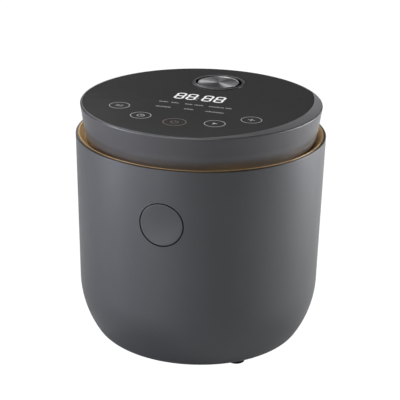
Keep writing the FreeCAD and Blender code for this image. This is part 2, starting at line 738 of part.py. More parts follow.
cap = turned("vent_cap", [
    (0, p.lid_z + 0.45), (19.6, p.lid_z + 0.95), (20.5, p.lid_z + 0.95), (p.cap_r, p.lid_z + 0.45),
    (p.cap_r, p.lid_z - 0.6), (19.5, p.lid_z - 0.6), (19.5, 235.0), (18.0, 235.0),
    (18.0, p.lid_z - 1.6), (0, p.lid_z - 1.6)], x=vx, y=vy)

weight = turned("pressure_weight", [
    (7.0, 214.5), (8.8, 214.5), (8.8, 232.0), (7.6, 234.0), (0, 234.0), (0, 226.4), (3.7, 226.4),
    (7.0, 222.4)], x=vx, y=vy)

floater = turned("float_valve", [
    (0, 193.8), (3.8, 193.8), (3.8, 195.2), (2.6, 195.2), (2.6, 211.2), (4.2, 211.2),
    (4.2, 213.0), (0, 213.0)], x=FLOAT[0], y=FLOAT[1])

# The arm turns on the hinge pin and its flange lies on the liner inside the lid.
arm = body("lid_arm")
sk = sketch(arm, "YZ_Plane", at=-20.0)
outline(sk, [(97.0, 209.1), (106.3, 209.1), (108.0, 211.0), (hy, 211.0), (hy, 218.0),
             (104.5, 218.0), (102.5, 212.1), (97.0, 212.1)])
pad(arm, sk, 40.0)
sk = sketch(arm, "YZ_Plane", at=-20.0)
circle(sk, hy, hz, 5.2)
pad(arm, sk, 40.0)
sk = sketch(arm, "YZ_Plane", at=-30.0)
circle(sk, hy, hz, p.pin_r + 0.06)
pocket(arm, sk, 60.0)
box_cut(arm, -7.0, 7.0, 116.0, 130.0, 205.0, 225.0)

catch = body("latch_catch")
box_add(catch, -5.8, 5.8, -105.0, -103.0, 196.0, 210.8)
box_add(catch, -5.8, 5.8, -103.2, -93.0, 209.0, 210.8)
sk = sketch(catch, "XZ_Plane", at=100.0)
rect(sk, -3.6, 3.6, 198.6, 204.2)
pocket(catch, sk, 8.0)


# ------------------------------------------------------------------- springs

# Each spring is a close-wound coil, drawn as a sleeve whose outside is ribbed by
# its turns.

def coil_outline(r, wire, start, turns):
    """Ribbed section: (radius, distance along the axis), and its arcs."""
    pts, arcs = [(r - wire, start), (r, start)], {}
    for k in range(turns):
        arcs[len(pts) - 1] = (r, start + wire * (2 * k + 1), 1)
        pts.append((r, start + wire * (2 * k + 2)))
    pts.append((r - wire, start + wire * 2 * turns))
    return pts, arcs


sspring = turned("sensor_spring", *coil_outline(6.0, 0.75, p.shield_z + sg + 0.2, 9))

bsprings = body("button_springs")
for x in (-16.0, 16.0):
    sk = sketch(bsprings, "XY_Plane", at=p.button_z, x=x)
    outline(sk, *coil_outline(2.6, 0.45, -112.8, 9))
    revolve(bsprings, sk)

lspring = body("lid_spring")
sk = sketch(lspring, "XY_Plane", at=hz, y=hy)
pts, arcs = coil_outline(4.0, 0.85, -5.95, 7)
outline(sk, [(t, r) for r, t in pts], {k: (t, r, -1) for k, (r, t, turn) in arcs.items()})
f = lspring.newObject("PartDesign::Revolution", "lid_spring_turned")
f.Profile = sk
f.ReferenceAxis = (sk, ["H_Axis"])
f.Angle = 360.0

# ----------------------------------------------------------- checks and output

doc.recompute()
for o in doc.Objects:
    bad = [s for s in o.State if s in ("Invalid", "Error")]
    if bad:
        raise RuntimeError("%s is %s" % (o.Name, bad))
    if o.TypeId == "Sketcher::SketchObject" and o.solve() != 0:
        raise RuntimeError("sketch %s does not solve" % o.Name)
names = [o.Label for o in NODES]
if len(set(names)) != len(names):
    raise RuntimeError("two sub-parts share a label")
os.makedirs("parts", exist_ok=True)
for o in NODES:
    s = o.Shape
    if s.isNull() or not s.isValid() or not s.Solids:
        raise RuntimeError("%s has no valid solid" % o.Label)
for o in NODES:
    o.Shape.exportStep("parts/%s.step" % o.Label)
    print("%-20s %2d solid(s) %10.1f mm3" % (o.Label, len(o.Shape.Solids), o.Shape.Volume))
print(len(NODES), "sub-parts")
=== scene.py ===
import math

import bmesh
import bpy
import numpy as np
from mathutils import Matrix, Vector


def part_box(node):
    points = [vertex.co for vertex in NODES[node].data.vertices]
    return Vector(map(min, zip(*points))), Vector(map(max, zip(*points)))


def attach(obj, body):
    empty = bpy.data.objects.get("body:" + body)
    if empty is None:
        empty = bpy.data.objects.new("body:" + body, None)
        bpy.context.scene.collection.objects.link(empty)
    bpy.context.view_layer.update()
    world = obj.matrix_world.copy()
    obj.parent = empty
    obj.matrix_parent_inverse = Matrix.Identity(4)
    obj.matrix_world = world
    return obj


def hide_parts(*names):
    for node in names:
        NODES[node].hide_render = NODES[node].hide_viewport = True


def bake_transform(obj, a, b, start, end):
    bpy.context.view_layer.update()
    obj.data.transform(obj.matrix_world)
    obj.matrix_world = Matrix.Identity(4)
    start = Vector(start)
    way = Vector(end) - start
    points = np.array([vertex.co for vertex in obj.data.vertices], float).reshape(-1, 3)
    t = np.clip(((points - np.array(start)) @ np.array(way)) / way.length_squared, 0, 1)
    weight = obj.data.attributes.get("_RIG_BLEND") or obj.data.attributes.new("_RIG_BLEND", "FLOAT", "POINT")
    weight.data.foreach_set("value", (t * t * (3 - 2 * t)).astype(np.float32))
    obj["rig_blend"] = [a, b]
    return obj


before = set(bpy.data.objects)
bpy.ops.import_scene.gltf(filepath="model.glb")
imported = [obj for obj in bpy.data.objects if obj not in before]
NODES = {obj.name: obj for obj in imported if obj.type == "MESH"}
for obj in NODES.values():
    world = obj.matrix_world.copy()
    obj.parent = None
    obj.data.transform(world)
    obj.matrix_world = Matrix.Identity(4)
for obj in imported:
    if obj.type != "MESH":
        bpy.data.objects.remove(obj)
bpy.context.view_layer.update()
MM = 0.001
SCENE = bpy.context.scene
TURN = 256

# ---------------------------------------------------------------- main sizes, mm
SIDE_R, SIDE_Z = 118.9, 66.0
RIM_R, RIM_Z = 122.0, 213.0
BASE_R, BASE_Z, CORNER = 86.0, 3.7, 21.0
BUTTON_Z = 158.4
LID_Z = 243.15
PANEL_X = -2.8
VX, VY = -2.8, 67.0
HY, HZ = 123.0, 214.0
FLOAT_X = VX + 13.8
INLET_Z = 80.0

half_w, half_h = SIDE_R - BASE_R, SIDE_Z - BASE_Z
BIG_R = (half_w ** 2 + half_h ** 2 - half_h * CORNER * 2) / ((half_w - CORNER) * 2)
C_BIG = (SIDE_R - BIG_R, SIDE_Z)
C_SMALL = (BASE_R, BASE_Z + CORNER)
UX = (C_SMALL[0] - C_BIG[0]) / (BIG_R - CORNER)
UZ = (C_SMALL[1] - C_BIG[1]) / (BIG_R - CORNER)


def corner(offset):
    r = CORNER - offset
    return (C_SMALL[0] + UX * r, C_SMALL[1] + UZ * r)


def side_radius(z):
    """Outer radius of the casing's side at a height above the lower corner."""
    return SIDE_R + (RIM_R - SIDE_R) * (z - SIDE_Z) / (RIM_Z - SIDE_Z)


def polar(r, *degrees):
    return [(r * math.cos(math.radians(a)), r * math.sin(math.radians(a))) for a in degrees]


# ------------------------------------------------------------------- mesh helpers

def section(points, arcs=None, step=7.0, closed=True):
    """Edges of an outline: arrays of start, end, and the outward normals at both.
    A point is (r, z) or (r, z, fillet); arcs is {index: (centre r, centre z, +1 or -1)}."""
    arcs = arcs or {}
    n = len(points)
    runs = []
    starts, ends = {}, {}
    for i in range(n):
        p = points[i]
        f = p[2] if len(p) > 2 else 0.0
        here = np.array(p[:2], float)
        starts[i] = ends[i] = here
        if f > 0 and (closed or 0 < i < n - 1):
            a = np.array(points[i - 1][:2], float)
            b = np.array(points[(i + 1) % n][:2], float)
            da, db = a - here, b - here
            la, lb = np.hypot(*da), np.hypot(*db)
            da, db = da / la, db / lb
            cosang = float(np.clip(da @ db, -1, 1))
            ang = math.acos(cosang)
            if abs(math.pi - ang) > 1e-4:
                t = f / math.tan(ang / 2)
                lim = 0.48 * min(la, lb)
                if t > lim:
                    f *= lim / t
                    t = lim
                pa, pb = here + da * t, here + db * t
                mid = da + db
                mid /= np.hypot(*mid)
                c = here + mid * (f / math.sin(ang / 2))
                ends[i] = pa
                starts[i] = pb
                cross = (pa - c)[0] * (pb - c)[1] - (pa - c)[1] * (pb - c)[0]
                runs.append((i - 0.5, pa, pb, (c[0], c[1], 1 if cross > 0 else -1)))
    last = n if closed else n - 1
    for i in range(last):
        j = (i + 1) % n
        runs.append((i, starts[i], ends[j], arcs.get(i)))
    runs.sort(key=lambda r: r[0])
    out = []
    for _, a, b, arc in runs:
        if arc is None:
            if np.hypot(*(b - a)) > 1e-7:
                out.append((a, b, None))
            continue
        c = np.array(arc[:2], float)
        a0 = math.atan2(*(a - c)[::-1])
        a1 = math.atan2(*(b - c)[::-1])
        if arc[2] > 0 and a1 < a0:
            a1 += 2 * math.pi
        if arc[2] < 0 and a1 > a0:
            a1 -= 2 * math.pi
        r = np.hypot(*(a - c))
        k = max(2, int(math.ceil(abs(math.degrees(a1 - a0)) / step)))
        pts = [c + r * np.array((math.cos(a0 + (a1 - a0) * q / k), math.sin(a0 + (a1 - a0) * q / k)))
               for q in range(k + 1)]
        pts[0], pts[-1] = a, b
        for q in range(k):
            out.append((pts[q], pts[q + 1], c))
    A = np.array([o[0] for o in out])
    B = np.array([o[1] for o in out])
    area = float(np.sum(A[:, 0] * B[:, 1] - B[:, 0] * A[:, 1]))
    s = 1.0 if area > 0 else -1.0
    D = B - A
    N = np.stack([D[:, 1], -D[:, 0]], 1) * s
    N /= np.linalg.norm(N, axis=1)[:, None]
    NA, NB = N.copy(), N.copy()
    for k, o in enumerate(out):
        if o[2] is not None:
            for src, arr in ((A[k], NA), (B[k], NB)):
                v = src - o[2]
                v /= np.hypot(*v)
                arr[k] = v if v @ N[k] > 0 else -v
    return {"a": A, "b": B, "na": NA, "nb": NB, "sign": s}


def new_object(name, me):
    ob = bpy.data.objects.new(name, me)
    SCENE.collection.objects.link(ob)
    return ob


def set_normals(me, normals):
    me.polygons.foreach_set("use_smooth", np.ones(len(me.polygons), bool))
    me.normals_split_custom_set(normals.tolist())


def turned(name, points, arcs=None, x=0.0, y=0.0, seg=TURN, step=7.0):
    """A solid turned about the vertical line through (x, y), with exact normals."""
    sec = section(points, arcs, step)
    A, B = sec["a"], sec["b"]
    k = len(A)
    ang = np.arange(seg) * 2 * math.pi / seg
    ca, sa = np.cos(ang), np.sin(ang)
    rings, verts = [], []
    for i in range(k):
        r, z = A[i]
        if r < 1e-6:
            rings.append([len(verts)] * seg)
            verts.append((x, y, z))
        else:
            base = len(verts)
            rings.append(list(range(base, base + seg)))
            verts.extend(zip(x + r * ca, y + r * sa, [z] * seg))
    faces, normals = [], []
    for i in range(k):
        j = (i + 1) % k
        if A[i][0] < 1e-6 and A[j][0] < 1e-6:
            continue
        ra, rb = rings[i], rings[j]
        na, nb = sec["na"][i], sec["nb"][i]
        for q in range(seg):
            w = (q + 1) % seg
            quad = [(ra[q], na, q), (ra[w], na, w), (rb[w], nb, w), (rb[q], nb, q)]
            if sec["sign"] < 0:
                quad.reverse()
            seen, use = set(), []
            for c in quad:
                if c[0] not in seen:
                    seen.add(c[0])
                    use.append(c)
            if len(use) < 3:
                continue
            faces.append([c[0] for c in use])
            normals.extend((c[1][0] * ca[c[2]], c[1][0] * sa[c[2]], c[1][1]) for c in use)
    me = bpy.data.meshes.new(name)
    me.from_pydata([(vx * MM, vy * MM, vz * MM) for vx, vy, vz in verts], [], faces)
    me.update()
    set_normals(me, np.array(normals))
    ob = new_object(name, me)
    FIELDS[name] = [turned_field(sec, x, y)]
    return ob


FIELDS = {}


def turned_field(sec, x, y):
    A, B, NA, NB = sec["a"], sec["b"], sec["na"], sec["nb"]
    D = B - A
    L2 = np.sum(D * D, 1)

    def field(p, pc, pn):
        cx, cy = pc[:, 0] - x, pc[:, 1] - y
        r = np.hypot(cx, cy)
        ux, uy = cx / np.maximum(r, 1e-9), cy / np.maximum(r, 1e-9)
        nr = pn[:, 0] * ux + pn[:, 1] * uy
        q = np.stack([r, pc[:, 2]], 1)
        best = np.full(len(q), 1e9)
        idx = np.zeros(len(q), int)
        for k in range(len(A)):
            t = np.clip(((q - A[k]) @ D[k]) / L2[k], 0, 1)
            d = np.hypot(*(q - A[k] - t[:, None] * D[k]).T)
            nm = (NA[k] + NB[k]) / 2
            d = d + np.where(nr * nm[0] + pn[:, 2] * nm[1] < 0.75, 5.0, 0.0)
            m = d < best
            best[m], idx[m] = d[m], k
        ok = best < 0.12
        px, py = p[:, 0] - x, p[:, 1] - y
        pr = np.hypot(px, py)
        vx = np.where(pr > 1e-6, px / np.maximum(pr, 1e-9), ux)
        vy = np.where(pr > 1e-6, py / np.maximum(pr, 1e-9), uy)
        w = np.stack([pr, p[:, 2]], 1)
        t = np.clip(np.sum((w - A[idx]) * D[idx], 1) / L2[idx], 0, 1)[:, None]
        n2 = NA[idx] * (1 - t) + NB[idx] * t
        n2 /= np.linalg.norm(n2, axis=1)[:, None]
        return ok, np.stack([n2[:, 0] * vx, n2[:, 0] * vy, n2[:, 1]], 1)

    return field


def bore_field(axis, u, v, r):
    """Wall of a round hole along an axis: x, y or z; (u, v) are its other two coordinates."""
    ax = "xyz".index(axis)
    o = [i for i in range(3) if i != ax]

    def field(p, pc, pn):
        du, dv = pc[:, o[0]] - u, pc[:, o[1]] - v
        d = np.hypot(du, dv)
        ok = (np.abs(d - r) < max(0.06, r * 0.004)) & (np.abs(pn[:, ax]) < 0.3)
        s = np.sign(pn[:, o[0]] * du + pn[:, o[1]] * dv)
        out = np.zeros_like(p)
        pu, pv = p[:, o[0]] - u, p[:, o[1]] - v
        L = np.maximum(np.hypot(pu, pv), 1e-9)
        out[:, o[0]], out[:, o[1]] = s * pu / L, s * pv / L
        return ok, out

    return field


def renormal(ob):
    """Exact normals again after a cut: from the surface each face lies on, else flat."""
    me = ob.data
    n = len(me.loops)
    vi = np.empty(n, np.int64)
    me.loops.foreach_get("vertex_index", vi)
    co = np.empty(len(me.vertices) * 3)
    me.vertices.foreach_get("co", co)
    co = co.reshape(-1, 3) / MM
    m = len(me.polygons)
    pc, pn = np.empty(m * 3), np.empty(m * 3)
    me.polygons.foreach_get("center", pc)
    me.polygons.foreach_get("normal", pn)
    pc, pn = pc.reshape(-1, 3) / MM, pn.reshape(-1, 3)
    tot = np.empty(m, np.int64)
    me.polygons.foreach_get("loop_total", tot)
    pi = np.repeat(np.arange(m), tot)
    # a face's own middle can lie off a wide ring; only the middle picks the surface, and each corner's own place gives
    # its normal
    out = pn[pi].copy()
    done = np.zeros(n, bool)
    for f in FIELDS.get(ob.name, []):
        ok, nv = f(co[vi], pc[pi], pn[pi])
        use = ok & ~done
        out[use] = nv[use]
        done |= use
    set_normals(me, out)


def prism(points, z0, z1):
    """A vertical prism over a flat outline, as vertices and faces."""
    n = len(points)
    area = sum(points[i][0] * points[(i + 1) % n][1] - points[(i + 1) % n][0] * points[i][1]
               for i in range(n))
    if area < 0:
        points = points[::-1]
    v = [(x, y, z0) for x, y in points] + [(x, y, z1) for x, y in points]
    f = [list(range(n))[::-1], list(range(n, 2 * n))]
    f += [[i, (i + 1) % n, n + (i + 1) % n, n + i] for i in range(n)]
    return v, f


AXES = {"z": lambda a, b, c: (a, b, c), "y": lambda a, b, c: (a, c, b), "x": lambda a, b, c: (c, a, b)}


def along(axis, vf):
    """Turn a vertical prism so that it runs along an axis; (u, v) keep their order."""
    v, f = vf
    g = AXES[axis]
    v = [g(*p) for p in v]
    if axis == "y":
        f = [q[::-1] for q in f]
    return v, f


def circle_pts(u, v, r, n=96):
    return [(u + r * math.cos(2 * math.pi * k / n), v + r * math.sin(2 * math.pi * k / n))
            for k in range(n)]


def mesh_of(name, parts):
    verts, faces = [], []
    for v, f in parts:
        b = len(verts)
        verts += [(p[0] * MM, p[1] * MM, p[2] * MM) for p in v]
        faces += [[i + b for i in q] for q in f]
    me = bpy.data.meshes.new(name)
    me.from_pydata(verts, [], faces)
    me.update()
    return me


def box_part(x0, x1, y0, y1, z0, z1):
    return prism([(x0, y0), (x1, y0), (x1, y1), (x0, y1)], z0, z1)


def cut(ob, parts, fields=(), join="DIFFERENCE"):
    """Cut shapes out of a piece, then give it exact normals again."""
    for k, part in enumerate(parts):
        cutter = new_object(ob.name + "_cut%d" % k, mesh_of("cut", [part]))
        mod = ob.modifiers.new("cut", "BOOLEAN")
        mod.operation = join
        mod.solver = "EXACT"
        mod.object = cutter
        bpy.context.view_layer.update()
        dg = bpy.context.evaluated_depsgraph_get()
        me = bpy.data.meshes.new_from_object(ob.evaluated_get(dg))
        ob.modifiers.clear()
        old = ob.data
        ob.data = me
        bpy.data.meshes.remove(old)
        bpy.data.objects.remove(cutter)
    FIELDS.setdefault(ob.name, []).extend(fields)
    renormal(ob)
    return ob


def apply_all(ob):
    bpy.context.view_layer.update()
    dg = bpy.context.evaluated_depsgraph_get()
    me = bpy.data.meshes.new_from_object(ob.evaluated_get(dg))
    ob.modifiers.clear()
    old = ob.data
    ob.data = me
    bpy.data.meshes.remove(old)
    return ob


def smooth(me, angle=32.0):
    me.polygons.foreach_set("use_smooth", np.ones(len(me.polygons), bool))
    me.set_sharp_from_angle(angle=math.radians(angle))


def weighted(ob, angle=32.0):
    smooth(ob.data, angle)
    mod = ob.modifiers.new("weighted", "WEIGHTED_NORMAL")
    mod.keep_sharp = True
    mod.weight = 80
    return apply_all(ob)


def place(ob, body, material, slot_name, *nodes):
    mats = material if isinstance(material, (list, tuple)) else [material]
    keep = np.zeros(len(ob.data.polygons), np.int32)
    if len(mats) > 1:
        ob.data.polygons.foreach_get("material_index", keep)
    ob.data.materials.clear()
    for m in mats:
        ob.data.materials.append(m)
    if len(mats) > 1:
        ob.data.polygons.foreach_set("material_index", keep)
    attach(ob, body)
    if nodes:
        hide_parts(*nodes)
    return ob


def softened(name, node, width, angle=28.0, segments=2):
    """A copy of a CAD sub-part with its hard edges rounded."""
    me = NODES[node].data.copy()
    me.name = name
    bm = bmesh.new()
    bm.from_mesh(me)
    for lay in list(bm.loops.layers.uv):
        bm.loops.layers.uv.remove(lay)
    bmesh.ops.remove_doubles(bm, verts=bm.verts, dist=2e-7)
    bmesh.ops.dissolve_limit(bm, angle_limit=math.radians(0.4), verts=bm.verts, edges=bm.edges,
                             use_dissolve_boundaries=False)
    edges = [e for e in bm.edges if len(e.link_faces) == 2
             and e.calc_face_angle(0.0) > math.radians(angle)]
    if edges and width > 0:
        bmesh.ops.bevel(bm, geom=edges, offset=width * MM, offset_type="OFFSET", segments=segments,
                        profile=0.5, affect="EDGES", clamp_overlap=True)
    bmesh.ops.remove_doubles(bm, verts=bm.verts, dist=1e-7)
    bm.to_mesh(me)
    bm.free()
    if me.has_custom_normals:
        me.free_normals_split() if hasattr(me, "free_normals_split") else None
    for a in [a.name for a in me.attributes if a.name in ("custom_normal",)]:
        me.attributes.remove(me.attributes[a])
    ob = new_object(name, me)
    return weighted(ob, 40.0)


# ---------------------------------------------------------------------- materials

class Paint:
    def __init__(self, name):
        self.m = bpy.data.materials.new(name)
        self.m.use_nodes = True
        self.t = self.m.node_tree
        self.t.nodes.clear()
        self.out = self.node("ShaderNodeOutputMaterial")
        self.b = self.node("ShaderNodeBsdfPrincipled")
        self.link(self.b.outputs["BSDF"], self.out.inputs["Surface"])
        self.tc = self.node("ShaderNodeTexCoord")

    def node(self, kind, **kw):
        n = self.t.nodes.new(kind)
        for k, v in kw.items():
            setattr(n, k, v)
        return n

    def link(self, a, b):
        self.t.links.new(a, b)

    def noise(self, scale, detail=4.0, rough=0.55, vector=None, stretch=None):
        n = self.node("ShaderNodeTexNoise")
        n.inputs["Scale"].default_value = scale
        n.inputs["Detail"].default_value = detail
        n.inputs["Roughness"].default_value = rough
        src = vector or self.tc.outputs["Object"]
        if stretch:
            mp = self.node("ShaderNodeMapping")
            mp.inputs["Scale"].default_value = stretch
            self.link(src, mp.inputs["Vector"])
            src = mp.outputs["Vector"]
        self.link(src, n.inputs["Vector"])
        return n.outputs["Fac"]

    def ramp(self, fac, stops):
        r = self.node("ShaderNodeValToRGB")
        e = r.color_ramp.elements
        while len(e) < len(stops):
            e.new(0.5)
        for el, (pos, col) in zip(e, stops):
            el.position = pos
            el.color = (*col, 1.0) if len(col) == 3 else col
        self.link(fac, r.inputs["Fac"])
        return r.outputs["Color"]

    def span(self, fac, a, b, lo, hi):
        m = self.node("ShaderNodeMapRange")
        for k, v in (("From Min", a), ("From Max", b), ("To Min", lo), ("To Max", hi)):
            m.inputs[k].default_value = v
        self.link(fac, m.inputs["Value"])
        return m.outputs["Result"]

    def mix(self, fac, a, b, blend="MIX"):
        m = self.node("ShaderNodeMix", data_type="RGBA", blend_type=blend)
        for sock, v in (("Factor", fac), ("A", a), ("B", b)):
            s = [i for i in m.inputs if i.name == sock and i.enabled][0] if sock != "Factor" else m.inputs[0]
            if sock in ("A", "B"):
                s = m.inputs[6 if sock == "A" else 7]
            if isinstance(v, bpy.types.NodeSocket):
                self.link(v, s)
            elif isinstance(v, (int, float)):
                s.default_value = v
            else:
                s.default_value = (*v, 1.0) if len(v) == 3 else v
        return m.outputs[2]

    def math(self, op, a, b=0.0):
        m = self.node("ShaderNodeMath", operation=op)
        for i, v in enumerate((a, b)):
            if isinstance(v, bpy.types.NodeSocket):
                self.link(v, m.inputs[i])
            else:
                m.inputs[i].default_value = v
        return m.outputs[0]

    def bump(self, fac, strength, distance, normal=None):
        b = self.node("ShaderNodeBump")
        b.inputs["Strength"].default_value = strength
        b.inputs["Distance"].default_value = distance
        self.link(fac, b.inputs["Height"])
        if normal is not None:
            self.link(normal, b.inputs["Normal"])
        return b.outputs["Normal"]

    def set(self, **kw):
        for k, v in kw.items():
            self.b.inputs[k.replace("_", " ")].default_value = v


def scaled(c, k):
    return tuple(max(0.0, min(1.0, v * k)) for v in c[:3])


def finish(name, color, rough, metallic=0.0, mottle=0.06, mottle_scale=30.0, grain=900.0,
           rough_var=0.06, bump=0.2, depth=0.00004, wear=0.0, wear_color=None, speck=None,
           coat=0.0, coat_rough=0.08, spec=0.5, stretch=None, smudge=0.0):
    """A moulded, painted or metal surface: cloudy colour, fine grain, uneven gloss, worn edges."""
    p = Paint(name)
    cloud = p.noise(mottle_scale, 5.0, 0.6)
    col = p.ramp(cloud, [(0.32, scaled(color, 1 - mottle)), (0.68, scaled(color, 1 + mottle))])
    fine = p.noise(grain, 3.0, 0.6, stretch=stretch)
    col = p.mix(p.span(fine, 0.3, 0.7, 0.0, 0.35 * mottle + 0.02), col, scaled(color, 1.5))
    if speck:
        v = p.node("ShaderNodeTexVoronoi", feature="F1")
        v.inputs["Scale"].default_value = speck[0]
        p.link(p.tc.outputs["Object"], v.inputs["Vector"])
        dots = p.ramp(v.outputs["Distance"], [(0.0, (1, 1, 1)), (speck[1], (1, 1, 1)), (speck[1] + 0.06, (0, 0, 0))])
        pick = p.node("ShaderNodeSeparateColor")
        p.link(v.outputs["Color"], pick.inputs[0])
        on = p.math("MULTIPLY", dots, p.math("GREATER_THAN", pick.outputs[0], speck[3]))
        col = p.mix(on, col, speck[2])
    if wear > 0:
        g = p.node("ShaderNodeNewGeometry")
        edge = p.span(g.outputs["Pointiness"], 0.53, 0.62, 0.0, wear)
        edge = p.math("MULTIPLY", edge, p.span(p.noise(220.0, 4.0), 0.4, 0.62, 0.0, 1.0))
        col = p.mix(edge, col, wear_color or scaled(color, 2.2))
    p.link(col, p.b.inputs["Base Color"])
    uneven = p.noise(mottle_scale * 2.3, 4.0, 0.65)
    rr = p.span(uneven, 0.3, 0.7, max(0.02, rough - rough_var), min(1.0, rough + rough_var))
    if smudge > 0:
        rr = p.math("ADD", rr, p.span(p.noise(9.0, 6.0, 0.7), 0.5, 0.75, 0.0, smudge))
    p.link(rr, p.b.inputs["Roughness"])
    if bump > 0:
        p.link(p.bump(fine, bump, depth), p.b.inputs["Normal"])
    p.b.inputs["Metallic"].default_value = metallic
    p.b.inputs["Specular IOR Level"].default_value = spec
    if coat:
        p.b.inputs["Coat Weight"].default_value = coat
        p.b.inputs["Coat Roughness"].default_value = coat_rough
    return p


def metallic_paint(name, color, rough, metallic, heights=None, angles=None):
    """Satin metallic paint: tiny flakes tilt the surface a little, under a thin clear film.
    heights and angles are (place, factor) lists of painted light and shade: how much paler or darker the colour is
    painted up the part in millimetres, or round it in degrees."""
    p = Paint(name)
    v = p.node("ShaderNodeTexVoronoi", feature="F1")
    v.inputs["Scale"].default_value = 2600.0
    p.link(p.tc.outputs["Object"], v.inputs["Vector"])
    sep = p.node("ShaderNodeSeparateColor")
    p.link(v.outputs["Color"], sep.inputs[0])
    flake = p.span(sep.outputs[0], 0.0, 1.0, 0.95, 1.05)
    cloud = p.span(p.noise(14.0, 5.0, 0.6), 0.3, 0.7, 0.975, 1.025)
    k = p.math("MULTIPLY", flake, cloud)
    if heights or angles:
        xyz = p.node("ShaderNodeSeparateXYZ")
        p.link(p.tc.outputs["Object"], xyz.inputs[0])
    # painted light and shade: the colour is made paler or darker by place, up the part and round it
    if heights:
        for (z0, k0), (z1, k1) in zip(heights, heights[1:]):
            step = p.span(xyz.outputs[2], z0 * MM, z1 * MM, 1.0, k1 / k0)
            k = p.math("MULTIPLY", k, step)
    if angles:
        turn = p.math("ARCTAN2", xyz.outputs[1], xyz.outputs[0])
        k = p.math("MULTIPLY", k, angles[0][1])
        for (a0, k0), (a1, k1) in zip(angles, angles[1:]):
            step = p.span(turn, math.radians(a0), math.radians(a1), 1.0, k1 / k0)
            k = p.math("MULTIPLY", k, step)
    mul = p.node("ShaderNodeVectorMath", operation="SCALE")
    mul.inputs[0].default_value = color
    p.link(k, mul.inputs["Scale"])
    p.link(mul.outputs[0], p.b.inputs["Base Color"])
    rr = p.span(p.noise(40.0, 5.0, 0.6), 0.3, 0.7, rough - 0.025, rough + 0.025)
    rr = p.math("ADD", rr, p.span(p.noise(7.0, 6.0, 0.7), 0.52, 0.75, 0.0, 0.03))
    p.link(rr, p.b.inputs["Roughness"])
    n1 = p.bump(sep.outputs[1], 0.05, 0.00002)
    n2 = p.bump(p.noise(650.0, 3.0, 0.5), 0.07, 0.00004, n1)
    p.link(n2, p.b.inputs["Normal"])
    p.b.inputs["Metallic"].default_value = metallic
    return p


casing_paint = metallic_paint("casing_paint", (0.135, 0.137, 0.146), 0.40, 0.72).m
# painted light: the lid's side is painted up to 3.5 times paler towards its lower edge, fading to its own tone at 226
# mm, to lift the shade that falls in the gap above the rim
LOW_SIDE_PAINTED_LIGHT = [(209.0, 3.5), (213.0, 2.3), (219.0, 1.3), (226.0, 1.0)]
lid_paint_with_painted_light = metallic_paint("lid_paint_with_painted_light", scaled((0.135, 0.134, 0.142), 3.5), 0.36, 0.72, heights=LOW_SIDE_PAINTED_LIGHT).m
# painted light: the flat land round the glass is painted up to 2.8 times paler on its right side, where light falls,
# and darker elsewhere round it
lid_land_painted_light = metallic_paint("lid_land_painted_light", (0.135, 0.134, 0.142), 0.38, 0.72, angles=[
    (-150.0, 0.4), (-110.0, 0.45), (-80.0, 0.4), (-46.0, 0.36), (-30.0, 0.8), (-15.0, 1.28), (5.0, 1.95),
    (30.0, 2.8), (50.0, 2.8), (75.0, 0.9)]).m
button_paint = metallic_paint("button_paint", (0.135, 0.137, 0.146), 0.40, 0.72).m
# painted highlight: the rounded top edge is painted paler than the lid, and paler still along its front, standing in
# for the highlight the lamps put there
lid_edge_painted_highlight = metallic_paint("lid_edge_painted_highlight", (0.21, 0.21, 0.22), 0.42, 0.75, angles=[
    (-165.0, 0.6), (-140.0, 0.9), (-115.0, 1.25), (-60.0, 1.35), (-40.0, 0.8), (-20.0, 0.42), (20.0, 0.42),
    (60.0, 0.7)]).m
lip_dark = finish("lip_dark", (0.070, 0.060, 0.046), 0.40, 0.2, mottle=0.1, grain=1200, bump=0.1).m
black_plastic = finish("black_plastic", (0.022, 0.022, 0.024), 0.46, mottle=0.12, grain=1100,
                       bump=0.35, wear=0.25, smudge=0.05).m
dark_plastic = finish("dark_plastic", (0.032, 0.032, 0.035), 0.42, mottle=0.10, grain=1300,
                      bump=0.35, wear=0.2, smudge=0.05).m
rubber = finish("rubber", (0.018, 0.018, 0.019), 0.72, mottle=0.2, mottle_scale=60, grain=700,
                bump=0.5, depth=0.00008, wear=0.4, wear_color=(0.06, 0.06, 0.06), spec=0.3).m
zinc = finish("zinc_steel", (0.56, 0.57, 0.59), 0.34, 1.0, mottle=0.12, mottle_scale=120,
              rough_var=0.12, grain=1500, bump=0.15, wear=0.3, wear_color=(0.75, 0.75, 0.76)).m
sheet = finish("sheet_steel", (0.55, 0.55, 0.56), 0.32, 1.0, mottle=0.08, mottle_scale=50,
               rough_var=0.10, grain=700, bump=0.12, stretch=(1.0, 1.0, 8.0)).m
aluminium = finish("cast_aluminium", (0.62, 0.62, 0.63), 0.42, 1.0, mottle=0.08, mottle_scale=80,
                   rough_var=0.1, grain=500, bump=0.4, depth=0.00008).m
brass = finish("plated_brass", (0.72, 0.62, 0.38), 0.28, 1.0, mottle=0.1, mottle_scale=150,
               rough_var=0.1, grain=1500, bump=0.1).m
pot_metal = finish("pot_outside", (0.50, 0.50, 0.51), 0.36, 1.0, mottle=0.06, mottle_scale=20,
                   rough_var=0.08, grain=500, bump=0.15, stretch=(1.0, 1.0, 10.0)).m
pot_coat = finish("pot_coating", (0.030, 0.030, 0.032), 0.38, 0.0, mottle=0.18, mottle_scale=60,
                  rough_var=0.08, grain=900, bump=0.35, depth=0.00005,
                  speck=(420.0, 0.16, (0.22, 0.22, 0.23), 0.72), coat=0.15, coat_rough=0.3).m
silicone = finish("silicone", (0.62, 0.60, 0.56), 0.5, mottle=0.05, mottle_scale=40, grain=900,
                  bump=0.2, spec=0.4).m
silicone_dark = finish("silicone_dark", (0.045, 0.045, 0.047), 0.55, mottle=0.1, grain=900,
                       bump=0.25, spec=0.4).m
white_plastic = finish("white_plastic", (0.72, 0.72, 0.70), 0.42, mottle=0.03, grain=1200,
                       bump=0.2).m
